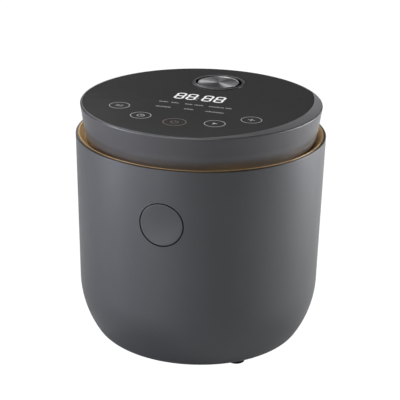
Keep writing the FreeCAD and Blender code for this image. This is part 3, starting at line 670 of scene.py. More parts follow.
blue_plastic = finish("blue_plastic", (0.02, 0.09, 0.42), 0.35, mottle=0.08, grain=1200,
                      bump=0.2).m
gold = finish("gold_trim", (0.96, 0.62, 0.28), 0.40, 0.2, mottle=0.05, mottle_scale=45,
              rough_var=0.05, grain=1400, bump=0.08, wear=0.25, wear_color=(0.80, 0.66, 0.44)).m
bezel_dark = finish("dark_bezel", (0.034, 0.034, 0.036), 0.34, 0.5, mottle=0.08, grain=1500,
                    bump=0.12, wear=0.25, wear_color=(0.2, 0.2, 0.2)).m


def circuit():
    """Green lacquer with copper tracks under it and bare pads."""
    p = Paint("circuit_board")
    v = p.node("ShaderNodeTexVoronoi", feature="DISTANCE_TO_EDGE", distance="EUCLIDEAN") \
        if False else p.node("ShaderNodeTexBrick")
    v.inputs["Scale"].default_value = 160.0
    v.inputs["Mortar Size"].default_value = 0.035
    v.inputs["Color1"].default_value = (0.012, 0.10, 0.035, 1)
    v.inputs["Color2"].default_value = (0.010, 0.13, 0.045, 1)
    v.inputs["Mortar"].default_value = (0.03, 0.20, 0.07, 1)
    p.link(p.tc.outputs["Object"], v.inputs["Vector"])
    dots = p.node("ShaderNodeTexVoronoi", feature="F1")
    dots.inputs["Scale"].default_value = 260.0
    p.link(p.tc.outputs["Object"], dots.inputs["Vector"])
    pad = p.ramp(dots.outputs["Distance"], [(0.0, (1, 1, 1)), (0.14, (1, 1, 1)), (0.18, (0, 0, 0))])
    p.link(p.mix(pad, v.outputs["Color"], (0.62, 0.60, 0.55)), p.b.inputs["Base Color"])
    p.link(p.span(p.noise(60.0), 0.3, 0.7, 0.22, 0.36), p.b.inputs["Roughness"])
    p.link(p.bump(v.outputs["Fac"], 0.3, 0.00005), p.b.inputs["Normal"])
    return p.m


circuit_board = circuit()


def laminations():
    """Stacked iron sheets seen from the side."""
    p = Paint("transformer_core")
    w = p.node("ShaderNodeTexWave", wave_type="BANDS", bands_direction="Z")
    w.inputs["Scale"].default_value = 420.0
    w.inputs["Distortion"].default_value = 0.4
    p.link(p.tc.outputs["Object"], w.inputs["Vector"])
    p.link(p.ramp(w.outputs["Fac"], [(0.2, (0.05, 0.045, 0.04)), (0.8, (0.20, 0.19, 0.18))]),
           p.b.inputs["Base Color"])
    p.link(p.bump(w.outputs["Fac"], 0.5, 0.0001), p.b.inputs["Normal"])
    p.link(p.span(p.noise(120.0), 0.3, 0.7, 0.4, 0.6), p.b.inputs["Roughness"])
    p.b.inputs["Metallic"].default_value = 0.7
    return p.m


core_iron = laminations()


def black_glass_mat():
    """Tempered black glass: very even, with only a trace of dust and waviness."""
    p = Paint("black_glass")
    dust = p.noise(1400.0, 2.0, 0.5)
    col = p.ramp(dust, [(0.62, (0.059, 0.059, 0.059)), (0.80, (0.070, 0.070, 0.070))])
    p.link(col, p.b.inputs["Base Color"])
    rr = p.span(p.noise(6.0, 6.0, 0.7), 0.35, 0.75, 0.16, 0.20)
    p.link(rr, p.b.inputs["Roughness"])
    p.link(p.bump(p.noise(11.0, 2.0, 0.5), 0.02, 0.0004), p.b.inputs["Normal"])
    p.b.inputs["IOR"].default_value = 1.40
    p.b.inputs["Specular IOR Level"].default_value = 0.22
    return p.m


black_glass = black_glass_mat()


def glow(name, color, strength, base):
    p = Paint(name)
    k = p.span(p.noise(260.0, 3.0), 0.3, 0.7, 0.93, 1.0)
    mul = p.node("ShaderNodeVectorMath", operation="SCALE")
    mul.inputs[0].default_value = color
    p.link(k, mul.inputs["Scale"])
    p.link(mul.outputs[0], p.b.inputs["Emission Color"])
    p.b.inputs["Emission Strength"].default_value = strength
    p.link(p.ramp(p.noise(900.0), [(0.3, scaled(base, 0.9)), (0.7, base)]), p.b.inputs["Base Color"])
    p.b.inputs["Roughness"].default_value = 0.35
    return p.m


digit_white = glow("digit_white", (1.0, 1.0, 1.0), 0.80, (0.10, 0.10, 0.10))
print_grey = glow("print_grey", (0.78, 0.79, 0.80), 0.34, (0.12, 0.12, 0.12))
print_dim = glow("print_dim", (0.30, 0.13, 0.10), 0.22, (0.06, 0.05, 0.045))


def spun_metal():
    """Spun aluminium: fine rings round the centre, stretched highlights, and three bright sectors painted into the
    colour round the centre as painted highlights.
    """
    p = Paint("spun_metal")
    sep = p.node("ShaderNodeSeparateXYZ")
    p.link(p.tc.outputs["Object"], sep.inputs[0])
    r = p.math("SQRT", p.math("ADD", p.math("MULTIPLY", sep.outputs[0], sep.outputs[0]),
                              p.math("MULTIPLY", sep.outputs[1], sep.outputs[1])))
    comb = p.node("ShaderNodeCombineXYZ")
    p.link(r, comb.inputs[0])
    rings = p.noise(3200.0, 2.0, 0.7, vector=comb.outputs[0])
    coarse = p.noise(700.0, 2.0, 0.6, vector=comb.outputs[0])
    ang = p.math("ARCTAN2", sep.outputs[1], sep.outputs[0])
    # painted highlights: three bright sectors round the centre are painted into the base colour, standing in for
    # reflections of the lamps
    painted_glints = None
    for deg, wide, top in ((192.0, 40.0, 0.85), (90.0, 42.0, 1.0), (-42.0, 36.0, 1.0)):
        d = p.math("WRAP", p.math("SUBTRACT", ang, math.radians(deg)), math.pi)
        d.node.inputs[2].default_value = -math.pi
        one = p.span(p.math("ABSOLUTE", d), math.radians(wide), 0.0, 0.0, top)
        one.node.interpolation_type = "SMOOTHERSTEP"
        painted_glints = one if painted_glints is None else p.math("ADD", painted_glints, one)
    painted_glint_colour = p.ramp(painted_glints, [(0.0, (0.085, 0.085, 0.09)), (0.45, (0.19, 0.19, 0.197)), (1.0, (0.46, 0.46, 0.475))])
    p.link(p.mix(p.span(rings, 0.3, 0.7, 0.0, 0.16), painted_glint_colour, (0.55, 0.55, 0.57)), p.b.inputs["Base Color"])
    p.link(p.span(coarse, 0.3, 0.7, 0.27, 0.37), p.b.inputs["Roughness"])
    p.link(p.bump(rings, 0.12, 0.00003), p.b.inputs["Normal"])
    p.b.inputs["Metallic"].default_value = 1.0
    p.b.inputs["Anisotropic"].default_value = 0.6
    tan = p.node("ShaderNodeTangent", direction_type="RADIAL", axis="Z")
    p.link(tan.outputs[0], p.b.inputs["Tangent"])
    return p.m


spun_with_painted_glints = spun_metal()


def lathe_steel():
    """Brushed stainless sheet, polished in rings round the lid's middle."""
    p = Paint("lathe_steel")
    sep = p.node("ShaderNodeSeparateXYZ")
    p.link(p.tc.outputs["Object"], sep.inputs[0])
    r = p.math("SQRT", p.math("ADD", p.math("MULTIPLY", sep.outputs[0], sep.outputs[0]),
                              p.math("MULTIPLY", sep.outputs[1], sep.outputs[1])))
    comb = p.node("ShaderNodeCombineXYZ")
    p.link(r, comb.inputs[0])
    fine = p.noise(2600.0, 2.0, 0.6, vector=comb.outputs[0])
    wide = p.noise(260.0, 2.0, 0.6, vector=comb.outputs[0])
    p.link(p.ramp(p.mix(0.5, fine, wide), [(0.35, (0.47, 0.47, 0.475)), (0.65, (0.60, 0.60, 0.605))]),
           p.b.inputs["Base Color"])
    p.link(p.span(wide, 0.3, 0.7, 0.30, 0.37), p.b.inputs["Roughness"])
    p.link(p.bump(fine, 0.05, 0.00002), p.b.inputs["Normal"])
    p.b.inputs["Metallic"].default_value = 1.0
    return p.m


cover_steel = lathe_steel()
arm_steel = finish("arm_steel", (0.30, 0.305, 0.315), 0.45, 1.0, mottle=0.12, mottle_scale=110,
                   rough_var=0.10, grain=1300, bump=0.15, wear=0.25, wear_color=(0.5, 0.5, 0.51)).m

# --------------------------------------------------------------- casing and base

shell = turned("casing_shell", [
    (70.3, BASE_Z, 0.3), (BASE_R, BASE_Z), corner(0.0), (SIDE_R, SIDE_Z),
    (RIM_R, RIM_Z - 0.8, 0.35), (RIM_R - 0.7, RIM_Z, 0.35), (RIM_R - 2.4, RIM_Z, 0.3),
    (SIDE_R - 2.5, SIDE_Z), corner(2.5), (BASE_R, BASE_Z + 2.5), (70.3, BASE_Z + 2.5)],
    {1: (*C_SMALL, 1), 2: (*C_BIG, 1), 7: (*C_BIG, -1), 8: (*C_SMALL, -1)}, seg=320, step=3.0)
FEET = polar(82.0, 45, 135, 225, 315)
cut(shell, [
    along("y", prism(circle_pts(0, BUTTON_Z, 21.6, 160), -140, -100)),
    box_part(-34.2, 34.2, 100, 140, 196.0, 230),
    box_part(-17.1, 17.1, 100, 130, INLET_Z - 13.1, INLET_Z + 13.1),
] + [prism(circle_pts(x, y, 2.3, 32), 3.0, 8.0) for x, y in FEET],
    [bore_field("y", 0, BUTTON_Z, 21.6)] + [bore_field("z", x, y, 2.3) for x, y in FEET])
for f in shell.data.polygons:
    c = f.center / MM
    f.material_index = 1 if (c.z > RIM_Z - 0.62 and math.hypot(c.x, c.y) > 119.0) else 0
place(shell, "housing", [casing_paint, lip_dark], "casing_paint", "outer_shell")

cover = softened("underside_cover", "base_cover", 0.3)
place(cover, "housing", black_plastic, "black_plastic", "base_cover")

feet_parts = []
FOOT = [(0, 0.5), (5.4, 0.5), (5.9, 0.0), (7.6, 0.0), (8.2, 0.35), (8.5, 1.0), (8.5, 3.4), (8.2, 3.65),
        (2.2, 3.65), (2.2, 6.3), (3.2, 6.4), (3.0, 7.6), (2.4, 7.9), (0, 7.9)]


def ring_solid(profile, x, y, n):
    v, f, rings = [], [], []
    for r, z in profile:
        if r == 0:
            rings.append([len(v)] * n)
            v.append((x, y, z))
        else:
            rings.append(list(range(len(v), len(v) + n)))
            v += [(x + r * math.cos(2 * math.pi * k / n), y + r * math.sin(2 * math.pi * k / n), z)
                  for k in range(n)]
    for i in range(len(profile) - 1):
        for k in range(n):
            q = [rings[i][k], rings[i][(k + 1) % n], rings[i + 1][(k + 1) % n], rings[i + 1][k]]
            q = [a for j, a in enumerate(q) if a not in q[:j]]
            if len(q) > 2:
                f.append(q)
    return v, f


feet = new_object("feet_rubber", mesh_of("feet_rubber", [ring_solid(FOOT, x, y, 64) for x, y in FEET]))
weighted(feet, 50.0)
place(feet, "housing", rubber, "black_rubber", "rubber_feet")

POSTS = polar(60.0, 0, 90, 180, 270)
SCREW = [(0, 3.95), (2.4, 4.0), (3.0, 4.25), (3.3, 4.7), (3.3, 5.3), (1.4, 5.3), (1.4, 19.2), (0.6, 20.0), (0, 20.0)]
screws = new_object("underside_screws", mesh_of("underside_screws", [ring_solid(SCREW, x, y, 48) for x, y in POSTS]))
cross = []
for x, y in POSTS:
    w, L = 0.42, 1.9
    cross.append(prism([(x - w, y - L), (x + w, y - L), (x + w, y - w), (x + L, y - w), (x + L, y + w),
                        (x + w, y + w), (x + w, y + L), (x - w, y + L), (x - w, y + w), (x - L, y + w),
                        (x - L, y - w), (x - w, y - w)], 3.0, 4.9))
cut(screws, cross)
weighted(screws, 40.0)
place(screws, "housing", zinc, "zinc_steel", "base_screws")

inlet = softened("inlet_socket", "power_inlet", 0.45)
place(inlet, "housing", black_plastic, "black_plastic", "power_inlet")
pins = softened("inlet_blades", "inlet_pins", 0.35)
place(pins, "housing", brass, "plated_brass", "inlet_pins")
hood = softened("hinge_hood", "hinge_cover", 0.7, segments=3)
place(hood, "housing", dark_plastic, "black_plastic", "hinge_cover")
bracket = softened("hinge_plate", "hinge_bracket", 0.25)
place(bracket, "housing", zinc, "zinc_steel", "hinge_bracket")
hpin = softened("hinge_rod", "hinge_pin", 0.3)
place(hpin, "housing", zinc, "zinc_steel", "hinge_pin")

# ------------------------------------------------------------ collar, trim, pot

collar = turned("rim_collar", [
    (92.5, 190.6, 0.4), (101.5, 190.6), (101.5, 203.5, 0.8), (116.4, 203.5), (116.4, 190.0),
    (118.8, 190.0), (118.8, 206.0, 0.3), (99.0, 206.0, 1.2), (99.0, 193.2, 0.8), (92.5, 193.2, 0.8)])
cut(collar, [box_part(-34.2, 34.2, 106, 130, 185, 210), box_part(-7.6, 7.6, -108.2, -102.0, 200, 210)])
place(collar, "housing", dark_plastic, "black_plastic", "top_collar")

trim = turned("trim_band", [
    (109.6, 206.1), (119.4, 206.1), (119.4, 213.3, 0.2), (118.6, 213.3, 0.35), (113.6, 208.2, 1.2),
    (109.6, 207.4, 0.4)], step=5.0)
cut(trim, [box_part(-34.2, 34.2, 100, 130, 200, 220)])
place(trim, "housing", gold, "gold_trim", "gold_trim_ring")

POT_R, POT_LOW, POT_TOP, WALL = 91.0, 58.6, 195.6, 1.8
pc, pz = POT_R - 14.0, POT_LOW + 14.0
pot = turned("cooking_pot", [
    (0, POT_LOW), (pc, POT_LOW), (POT_R, pz), (POT_R, POT_TOP - 2.2, 1.6), (97.6, POT_TOP - 2.2, 0.9),
    (97.6, POT_TOP, 0.9), (POT_R - WALL, POT_TOP, 1.6), (POT_R - WALL, pz), (pc, POT_LOW + WALL),
    (0, POT_LOW + WALL)], {1: (pc, pz, 1), 7: (pc, pz, -1)})
for f in pot.data.polygons:
    c = f.center / MM
    r = math.hypot(c.x, c.y)
    inside = (r < POT_R - 0.9 and c.z > POT_LOW + 0.9) or c.z > POT_TOP - 0.6
    if r < pc + 1 and c.z < POT_LOW + 0.9:
        inside = False
    f.material_index = 1 if inside else 0
place(pot, "housing", [pot_metal, pot_coat], "pot_coating", "inner_pot")

# ------------------------------------------------------------------------ the lid

GLASS_R, SIDE_ARC = 115.1, (-32.5, 11.6, 138.1)


def glass_outline(inset, n=360):
    """The glass: a disc nearly as wide as the lid, its right side taken off along a flatter arc."""
    cx, cy, big = SIDE_ARC
    pts = []
    for q in range(n):
        a = 2 * math.pi * q / n
        ca, sa = math.cos(a), math.sin(a)
        m = cx * ca + cy * sa
        r = min(GLASS_R - inset, m + math.sqrt(m * m - cx * cx - cy * cy + (big - inset) ** 2))
        pts.append((r * ca, r * sa))
    return pts


def layered(rows, outline):
    """A closed solid stacked from outlines: rows are (inset, z), from the bottom up."""
    v, f = [], []
    n = len(outline(0.0))
    for inset, z in rows:
        v += [(x, y, z) for x, y in outline(inset)]
    for i in range(len(rows) - 1):
        for q in range(n):
            w = (q + 1) % n
            f.append([i * n + q, i * n + w, (i + 1) * n + w, (i + 1) * n + q])
    f.append(list(reversed(range(n))))
    f.append([(len(rows) - 1) * n + q for q in range(n)])
    return v, f


lid = turned("lid_shell", [
    (111.6, 209.0, 0.7), (113.2, 215.0, 60.0), (114.6, 223.0, 90.0), (117.5, LID_Z - 0.9, 0.75),
    (116.6, LID_Z, 0.55), (102.6, LID_Z), (102.6, LID_Z - 4.95), (114.1, LID_Z - 7.0),
    (112.1, 223.0), (110.7, 215.0), (109.2, 209.0, 0.4)], seg=320, step=5.0)
cut(lid, [prism(glass_outline(-0.2), LID_Z - 2.9, LID_Z + 5),
          box_part(-20.4, 20.4, 95, 125, 205, 218.4)],
    [bore_field("z", 0, 0, GLASS_R + 0.2), bore_field("z", SIDE_ARC[0], SIDE_ARC[1], SIDE_ARC[2] + 0.2)])
# the rounded top edge takes the paint with the painted highlight, the flat land the paint with painted light round it,
# and the side the paint painted paler low down
for f in lid.data.polygons:
    c, r = f.center / MM, math.hypot(f.center.x, f.center.y) / MM
    f.material_index = 1 if (c.z > LID_Z - 1.0 and r > 116.75) else 2 if c.z > LID_Z - 0.3 else 0
place(lid, "lid", [lid_paint_with_painted_light, lid_edge_painted_highlight, lid_land_painted_light], "casing_paint", "lid_ring")

GZ = LID_Z - 0.15
glass = new_object("touch_glass", mesh_of("touch_glass", [layered(
    [(0.25, LID_Z - 2.8), (0.0, LID_Z - 2.55), (0.0, GZ - 0.45), (0.06, GZ - 0.22), (0.2, GZ - 0.07), (0.45, GZ)],
    glass_outline)]))
cut(glass, [prism(circle_pts(VX, VY, 25.3, 192), 235, 250)])
weighted(glass, 50.0)
# the top is flat right up to its rounded edge
corner_n = np.empty(len(glass.data.loops) * 3, np.float32)
glass.data.corner_normals.foreach_get("vector", corner_n)
corner_n = corner_n.reshape(-1, 3)
for f in glass.data.polygons:
    if f.normal.z > 0.9999:
        corner_n[f.loop_start:f.loop_start + f.loop_total] = (0.0, 0.0, 1.0)
set_normals(glass.data, corner_n)
place(glass, "lid", black_glass, "black_glass", "glass_panel")

# vent
bezel = turned("steam_bezel", [
    (21.4, LID_Z - 0.1), (23.8, LID_Z - 0.1), (23.8, 238.3), (25.1, 238.3), (25.1, LID_Z - 0.1),
    (27.0, LID_Z - 0.1), (27.0, LID_Z + 0.25, 0.2), (26.5, LID_Z + 0.55, 0.25), (25.4, LID_Z + 0.38, 0.8),
    (23.6, LID_Z + 0.42, 0.8), (22.7, LID_Z + 0.85, 0.25), (22.1, LID_Z + 0.85, 0.25), (21.4, LID_Z + 0.35, 0.3)],
    x=VX, y=VY, seg=192)
# the two crescent outlets
cut(bezel, [prism(circle_pts(VX - 3.0, VY, 20.4, 160), LID_Z - 3, LID_Z + 5),
            prism(circle_pts(VX + 3.0, VY, 20.4, 160), LID_Z - 3, LID_Z + 5)],
    [bore_field("z", VX - 3.0, VY, 20.4), bore_field("z", VX + 3.0, VY, 20.4)])
place(bezel, "lid", bezel_dark, "dark_bezel", "vent_bezel")

cap = turned("steam_cap", [
    (0, LID_Z + 0.30), (19.6, LID_Z + 0.42, 3.0), (20.1, LID_Z + 0.60, 0.2), (20.5, LID_Z + 0.60, 0.2),
    (21.0, LID_Z + 0.15, 0.3), (21.0, LID_Z - 0.6, 0.2), (19.5, LID_Z - 0.6), (19.5, 235.0, 0.3),
    (18.0, 235.0, 0.3), (18.0, LID_Z - 1.6), (0, LID_Z - 1.6)], seg=192)
cap.data.transform(Matrix.Translation((0, 0, -LID_Z * MM)))
cap.location = (VX * MM, VY * MM, LID_Z * MM)
bpy.context.view_layer.update()
for f in cap.data.polygons:
    c = f.center / MM
    f.material_index = 0 if c.z > -0.7 else 1
place(cap, "vent_cap", [spun_with_painted_glints, bezel_dark], "spun_metal", "vent_cap")

# underside of the lid
LEGS = polar(88.0, 35, 145, 225, 315)
liner = turned("lid_underside", [
    (0, 206.4), (94.5, 206.4, 0.4), (94.5, 203.2, 0.4), (97.0, 203.2, 0.4), (97.0, 206.4, 0.4),
    (108.8, 206.4, 0.5), (108.8, 214.0, 0.3), (106.5, 214.0, 0.3), (106.5, 208.9, 0.5), (0, 208.9)])
cut(liner, [prism(circle_pts(VX, VY, 7.0, 64), 200, 212), prism(circle_pts(FLOAT_X, VY, 3.0, 48), 200, 212)]
    + [prism(circle_pts(x, y, 1.6, 32), 200, 212) for x, y in LEGS]
    + [box_part(-20.4, 20.4, 104.4, 115, 209.05, 220), box_part(-6.2, 6.2, -105.3, -102.7, 200, 212)],
    [bore_field("z", VX, VY, 7.0), bore_field("z", FLOAT_X, VY, 3.0)])
place(liner, "lid", dark_plastic, "black_plastic", "lid_liner")

plate = turned("inner_cover", [
    (0, 200.8), (30.0, 200.8, 4.0), (33.0, 201.0, 4.0), (60.0, 201.0, 4.0), (63.0, 200.8, 4.0),
    (95.9, 200.8, 0.5), (96.6, 201.3, 0.4), (96.6, 202.0, 0.3), (6.0, 202.0, 0.4), (6.0, 206.3, 0.4), (0, 206.3)])
cut(plate, [prism(circle_pts(VX, VY, 6.6, 64), 195, 204), prism(circle_pts(FLOAT_X, VY, 2.9, 48), 195, 204)],
    [bore_field("z", VX, VY, 6.6), bore_field("z", FLOAT_X, VY, 2.9)])
place(plate, "lid", cover_steel, "sheet_steel", "inner_lid_plate")

gasket = turned("pot_gasket", [
    (88.5, 199.0, 0.5), (93.2, 198.2, 0.6), (94.2, 196.0, 0.4), (96.6, 196.0, 0.6), (96.6, 200.7, 0.5),
    (88.5, 200.7, 0.4)])
place(gasket, "lid", silicone, "silicone", "sealing_gasket")

sieve = softened("filter_basket", "filter_cap", 0.25)
place(sieve, "lid", sheet, "sheet_steel", "filter_cap")
catch = softened("catch_hook", "latch_catch", 0.25)
place(catch, "lid", zinc, "zinc_steel", "latch_catch")
arm = softened("hinge_arm", "lid_arm", 0.5)
place(arm, "lid", arm_steel, "zinc_steel", "lid_arm")

# ---------------------------------------------------------------- release button


def button_mesh():
    n = 160
    R, RD = 20.6, 19.55
    rows = [0.0] + [RD * k / 22 for k in range(1, 22)] + [RD - 0.3, RD, RD + 0.25, RD + 0.5, R - 0.35]

    def face_y(x, z, rho):
        y = -math.sqrt((side_radius(z) - 0.1) ** 2 - x * x)
        if rho < RD:
            u = rho / RD
            y += 1.18 * (1 - u * u) ** 1.15
        return y

    v, f, rings = [], [], []
    for rho in rows:
        if rho == 0:
            rings.append([0] * n)
            v.append((0, face_y(0, BUTTON_Z, 0), BUTTON_Z))
            continue
        rings.append(list(range(len(v), len(v) + n)))
        for k in range(n):
            a = 2 * math.pi * k / n
            x, z = rho * math.cos(a), BUTTON_Z + rho * math.sin(a)
            v.append((x, face_y(x, z, rho), z))
    # rounded rim, side wall, flange and back
    tail = [(R - 0.16, None, 0.06), (R - 0.04, None, 0.18), (R, None, 0.38), (R, -115.0, 0), (23.1, -115.0, 0),
            (23.4, -114.7, 0), (23.4, -113.5, 0), (23.1, -113.2, 0), (4.0, -113.2, 0), (4.0, -108.9, 0),
            (3.6, -108.5, 0), (0, -108.5, 0)]
    for rho, y, back in tail:
        if rho == 0:
            rings.append([len(v)] * n)
            v.append((0, y, BUTTON_Z))
            continue
        rings.append(list(range(len(v), len(v) + n)))
        for k in range(n):
            a = 2 * math.pi * k / n
            x, z = rho * math.cos(a), BUTTON_Z + rho * math.sin(a)
            v.append((x, y if y is not None else face_y(x, z, rho) + back, z))
    for i in range(len(rings) - 1):
        for k in range(n):
            q = [rings[i][k], rings[i][(k + 1) % n], rings[i + 1][(k + 1) % n], rings[i + 1][k]]
            q = [a for j, a in enumerate(q) if a not in q[:j]]
            if len(q) > 2:
                f.append(q)
    return v, f


button = new_object("lid_button", mesh_of("lid_button", [button_mesh()]))
cut(button, [box_part(-14.6, 14.6, -117.4, -105, 171.5, 190)])
weighted(button, 38.0)
place(button, "button", button_paint, "casing_paint", "release_button")

# --------------------------------------------------------- marks under the glass

MZ0, MZ1 = GZ + 0.012, GZ + 0.05


def ring_part(x, y, r, w, n=96, a0=0.0, a1=360.0):
    """A flat ring, or an arc of one, of line width w."""
    whole = abs(a1 - a0) >= 359.9
    k = n if whole else max(6, int(n * abs(a1 - a0) / 360))
    v, f = [], []
    m = k if whole else k + 1
    for q in range(m):
        a = math.radians(a0 + (a1 - a0) * q / k)
        for rr in (r - w / 2, r + w / 2):
            for z in (MZ0, MZ1):
                v.append((x + rr * math.cos(a), y + rr * math.sin(a), z))
    for q in range(k):
        i, j = 4 * q, 4 * ((q + 1) % m)
        f += [[i + 1, i + 3, j + 3, j + 1], [i + 2, i, j, j + 2], [i + 3, i + 2, j + 2, j + 3], [i, i + 1, j + 1, j]]
    if not whole:
        e = 4 * (m - 1)
        f += [[0, 2, 3, 1], [e + 1, e + 3, e + 2, e]]
    return v, f


def bar(x0, y0, x1, y1, w, taper=0.0):
    """A flat bar of width w from one point to another, its ends square or pointed."""
    L = math.hypot(x1 - x0, y1 - y0)
    ux, uy = (x1 - x0) / L, (y1 - y0) / L
    nx, ny = -uy * w / 2, ux * w / 2
    if taper > 0:
        t = taper
        pts = [(x0, y0), (x0 + ux * t + nx, y0 + uy * t + ny), (x1 - ux * t + nx, y1 - uy * t + ny), (x1, y1),
               (x1 - ux * t - nx, y1 - uy * t - ny), (x0 + ux * t - nx, y0 + uy * t - ny)]
    else:
        pts = [(x0 + nx, y0 + ny), (x1 + nx, y1 + ny), (x1 - nx, y1 - ny), (x0 - nx, y0 - ny)]
    return prism(pts, MZ0, MZ1)


def poly(pts):
    return prism(list(pts), MZ0, MZ1)


def disc(x, y, r, n=40):
    return prism(circle_pts(x, y, r, n), MZ0, MZ1)


def eight(x, y, w, h, s):
    """The seven bars of a numeral 8; (x, y) is its lower left corner."""
    g, t = 0.18, s / 2
    x0, x1, y0, y2 = x + t, x + w - t, y + t, y + h - t
    y1 = (y0 + y2) / 2
    out = []
    for yy in (y0, y1, y2):
        out.append(bar(x0 + g, yy, x1 - g, yy, s, t))
    for xx in (x0, x1):
        out.append(bar(xx, y0 + g, xx, y1 - g, s, t))
        out.append(bar(xx, y1 + g, xx, y2 - g, s, t))
    return out


digits = []
DW, DH, DS = 9.9, 19.4, 2.15
for x in (-29.5, -17.6, -1.6, 10.5):
    digits += eight(x, 0.3, DW, DH, DS)
num = new_object("display_digits", mesh_of("display_digits", digits))
smooth(num.data, 30)
place(num, "lid", digit_white, "white_plastic")

TOUCH = [(-69.6, -40.8), (-40.0, -63.7), (-3.7, -72.5), (32.9, -64.4), (61.9, -41.8)]
marks = [disc(-6.0, 1.9, 1.0), disc(-6.0, 8.3, 1.0)]
for i, (x, y) in enumerate(TOUCH):
    if i != 2:
        marks.append(ring_part(x, y, 9.7, 0.7))
# generic icons inside the touch rings
x, y = TOUCH[0]
marks += [bar(x - 3.6, y + 1.6, x - 0.2, y + 1.6, 0.9), bar(x - 3.6, y - 1.6, x + 3.6, y - 1.6, 0.9),
          bar(x + 1.0, y + 1.6, x + 3.6, y + 1.6, 0.9)]
x, y = TOUCH[1]
marks += [ring_part(x, y, 3.4, 0.8, 48), bar(x, y + 0.2, x, y + 2.3, 0.7), bar(x + 0.5, y - 0.1, x + 1.9, y - 0.1, 0.7)]
x, y = TOUCH[3]
marks += [poly([(x - 2.0, y - 2.6), (x + 2.8, y), (x - 2.0, y + 2.6)])]
x, y = TOUCH[4]
marks += [bar(x - 3.4, y, x + 3.4, y, 1.0), bar(x, y + 0.7, x, y + 3.4, 1.0), bar(x, y - 3.4, x, y - 0.7, 1.0)]
# indicator rows: plain bars and dots
HEIGHTS = (2.7, 1.8, 1.8, 2.7, 1.8, 1.8, 2.7, 1.8, 2.7, 1.8)


def ticks(x, y, w, seed, gap_at=None):
    """A plain row of short upright marks, standing for a printed caption."""
    out, px, k = [], x - w / 2, seed
    while px + 1.1 <= x + w / 2 + 0.05:
        if gap_at is None or abs(px + 0.55 - x - gap_at) > 0.9:
            h = HEIGHTS[k % 10]
            out.append(bar(px + 0.5, y - 1.0, px + 0.5, y - 1.0 + h, 0.95))
        px += 1.55
        k += 1
    return out


marks += ticks(-28.3, -14.2, 19.9, 0, 0.6) + ticks(-2.6, -14.4, 18.7, 3, -1.4) + ticks(23.4, -14.6, 22.8, 5, 5.0)
marks += ticks(-28.9, -30.2, 15.3, 2) + ticks(-3.4, -30.0, 9.2, 6) + ticks(22.6, -30.6, 18.2, 1)
prints = new_object("panel_marks", mesh_of("panel_marks", marks))
smooth(prints.data, 30)
place(prints, "lid", print_grey, "white_plastic")

x, y = TOUCH[2]
dim = [ring_part(x, y, 10.8, 0.8), ring_part(x, y, 3.4, 0.8, 60, 120, 420), bar(x, y + 1.6, x, y + 5.0, 0.8)]
prints2 = new_object("panel_marks_dim", mesh_of("panel_marks_dim", dim))
smooth(prints2.data, 30)
place(prints2, "lid", print_dim, "white_plastic")

# --------------------------------------------- springs that shorten as parts move


def coils(name, node, moving, axis, fixed_high):
    """A spring with one end on the casing and the other on the part it pushes."""
    ob = softened(name, node, 0.0)
    ob.data.materials.clear()
    ob.data.materials.append(zinc)
    lo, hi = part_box(node)
    still, pushed = (hi, lo) if fixed_high else (lo, hi)
    mid = (lo + hi) / 2
    start, end = mid.copy(), mid.copy()
    start[axis], end[axis] = still[axis], pushed[axis]
    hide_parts(node)
    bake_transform(ob, "housing", moving, start, end)


coils("button_coils", "button_springs", "button", 1, True)
coils("sensor_coils", "sensor_spring", "sensor", 2, False)

# ------------------------------------------------- finishes for the CAD sub-parts

CARRIED = {
    "support_posts": black_plastic, "heat_shield": sheet, "heating_plate": aluminium,
    "heating_element": zinc, "temperature_sensor": aluminium, "sensor_spring": zinc,
    "thermal_fuse": white_plastic, "power_board": circuit_board, "board_standoffs": black_plastic,
    "power_relay": blue_plastic, "transformer": core_iron, "filter_capacitors": black_plastic,
    "lid_spring": zinc, "button_springs": zinc, "latch_frame": zinc, "latch_pin": zinc,
    "latch_lever": zinc, "lid_frame": black_plastic, "display_board": circuit_board,
    "display_module": white_plastic, "touch_pads": zinc, "lid_screws": zinc,
    "valve_nozzle": aluminium, "float_seal": silicone, "steam_chamber": dark_plastic,
    "pressure_weight": zinc, "float_valve": zinc,
}
for name, ob in NODES.items():
    if ob.hide_render:
        continue
    m = CARRIED.get(name, black_plastic)
    for s in range(len(ob.material_slots)):
        ob.material_slots[s].material = m
    if not ob.material_slots:
        ob.data.materials.append(m)

# ------------------------------------------------------------------------- stage

fl = bpy.data.meshes.new("floor")
fl.from_pydata([(-6, -6, 0), (6, -6, 0), (6, 6, 0), (-6, 6, 0)], [], [(0, 1, 2, 3)])
floor = new_object("floor", fl)
fm = Paint("floor_white")
fm.b.inputs["Base Color"].default_value = (0.8, 0.8, 0.8, 1)
fm.b.inputs["Roughness"].default_value = 0.9
em = fm.node("ShaderNodeEmission")
em.inputs["Strength"].default_value = 1.05
mixs = fm.node("ShaderNodeMixShader")
lp = fm.node("ShaderNodeLightPath")
fm.link(lp.outputs["Is Camera Ray"], mixs.inputs[0])
fm.link(fm.b.outputs[0], mixs.inputs[1])
fm.link(em.outputs[0], mixs.inputs[2])
fm.link(mixs.outputs[0], fm.out.inputs["Surface"])
floor.data.materials.append(fm.m)

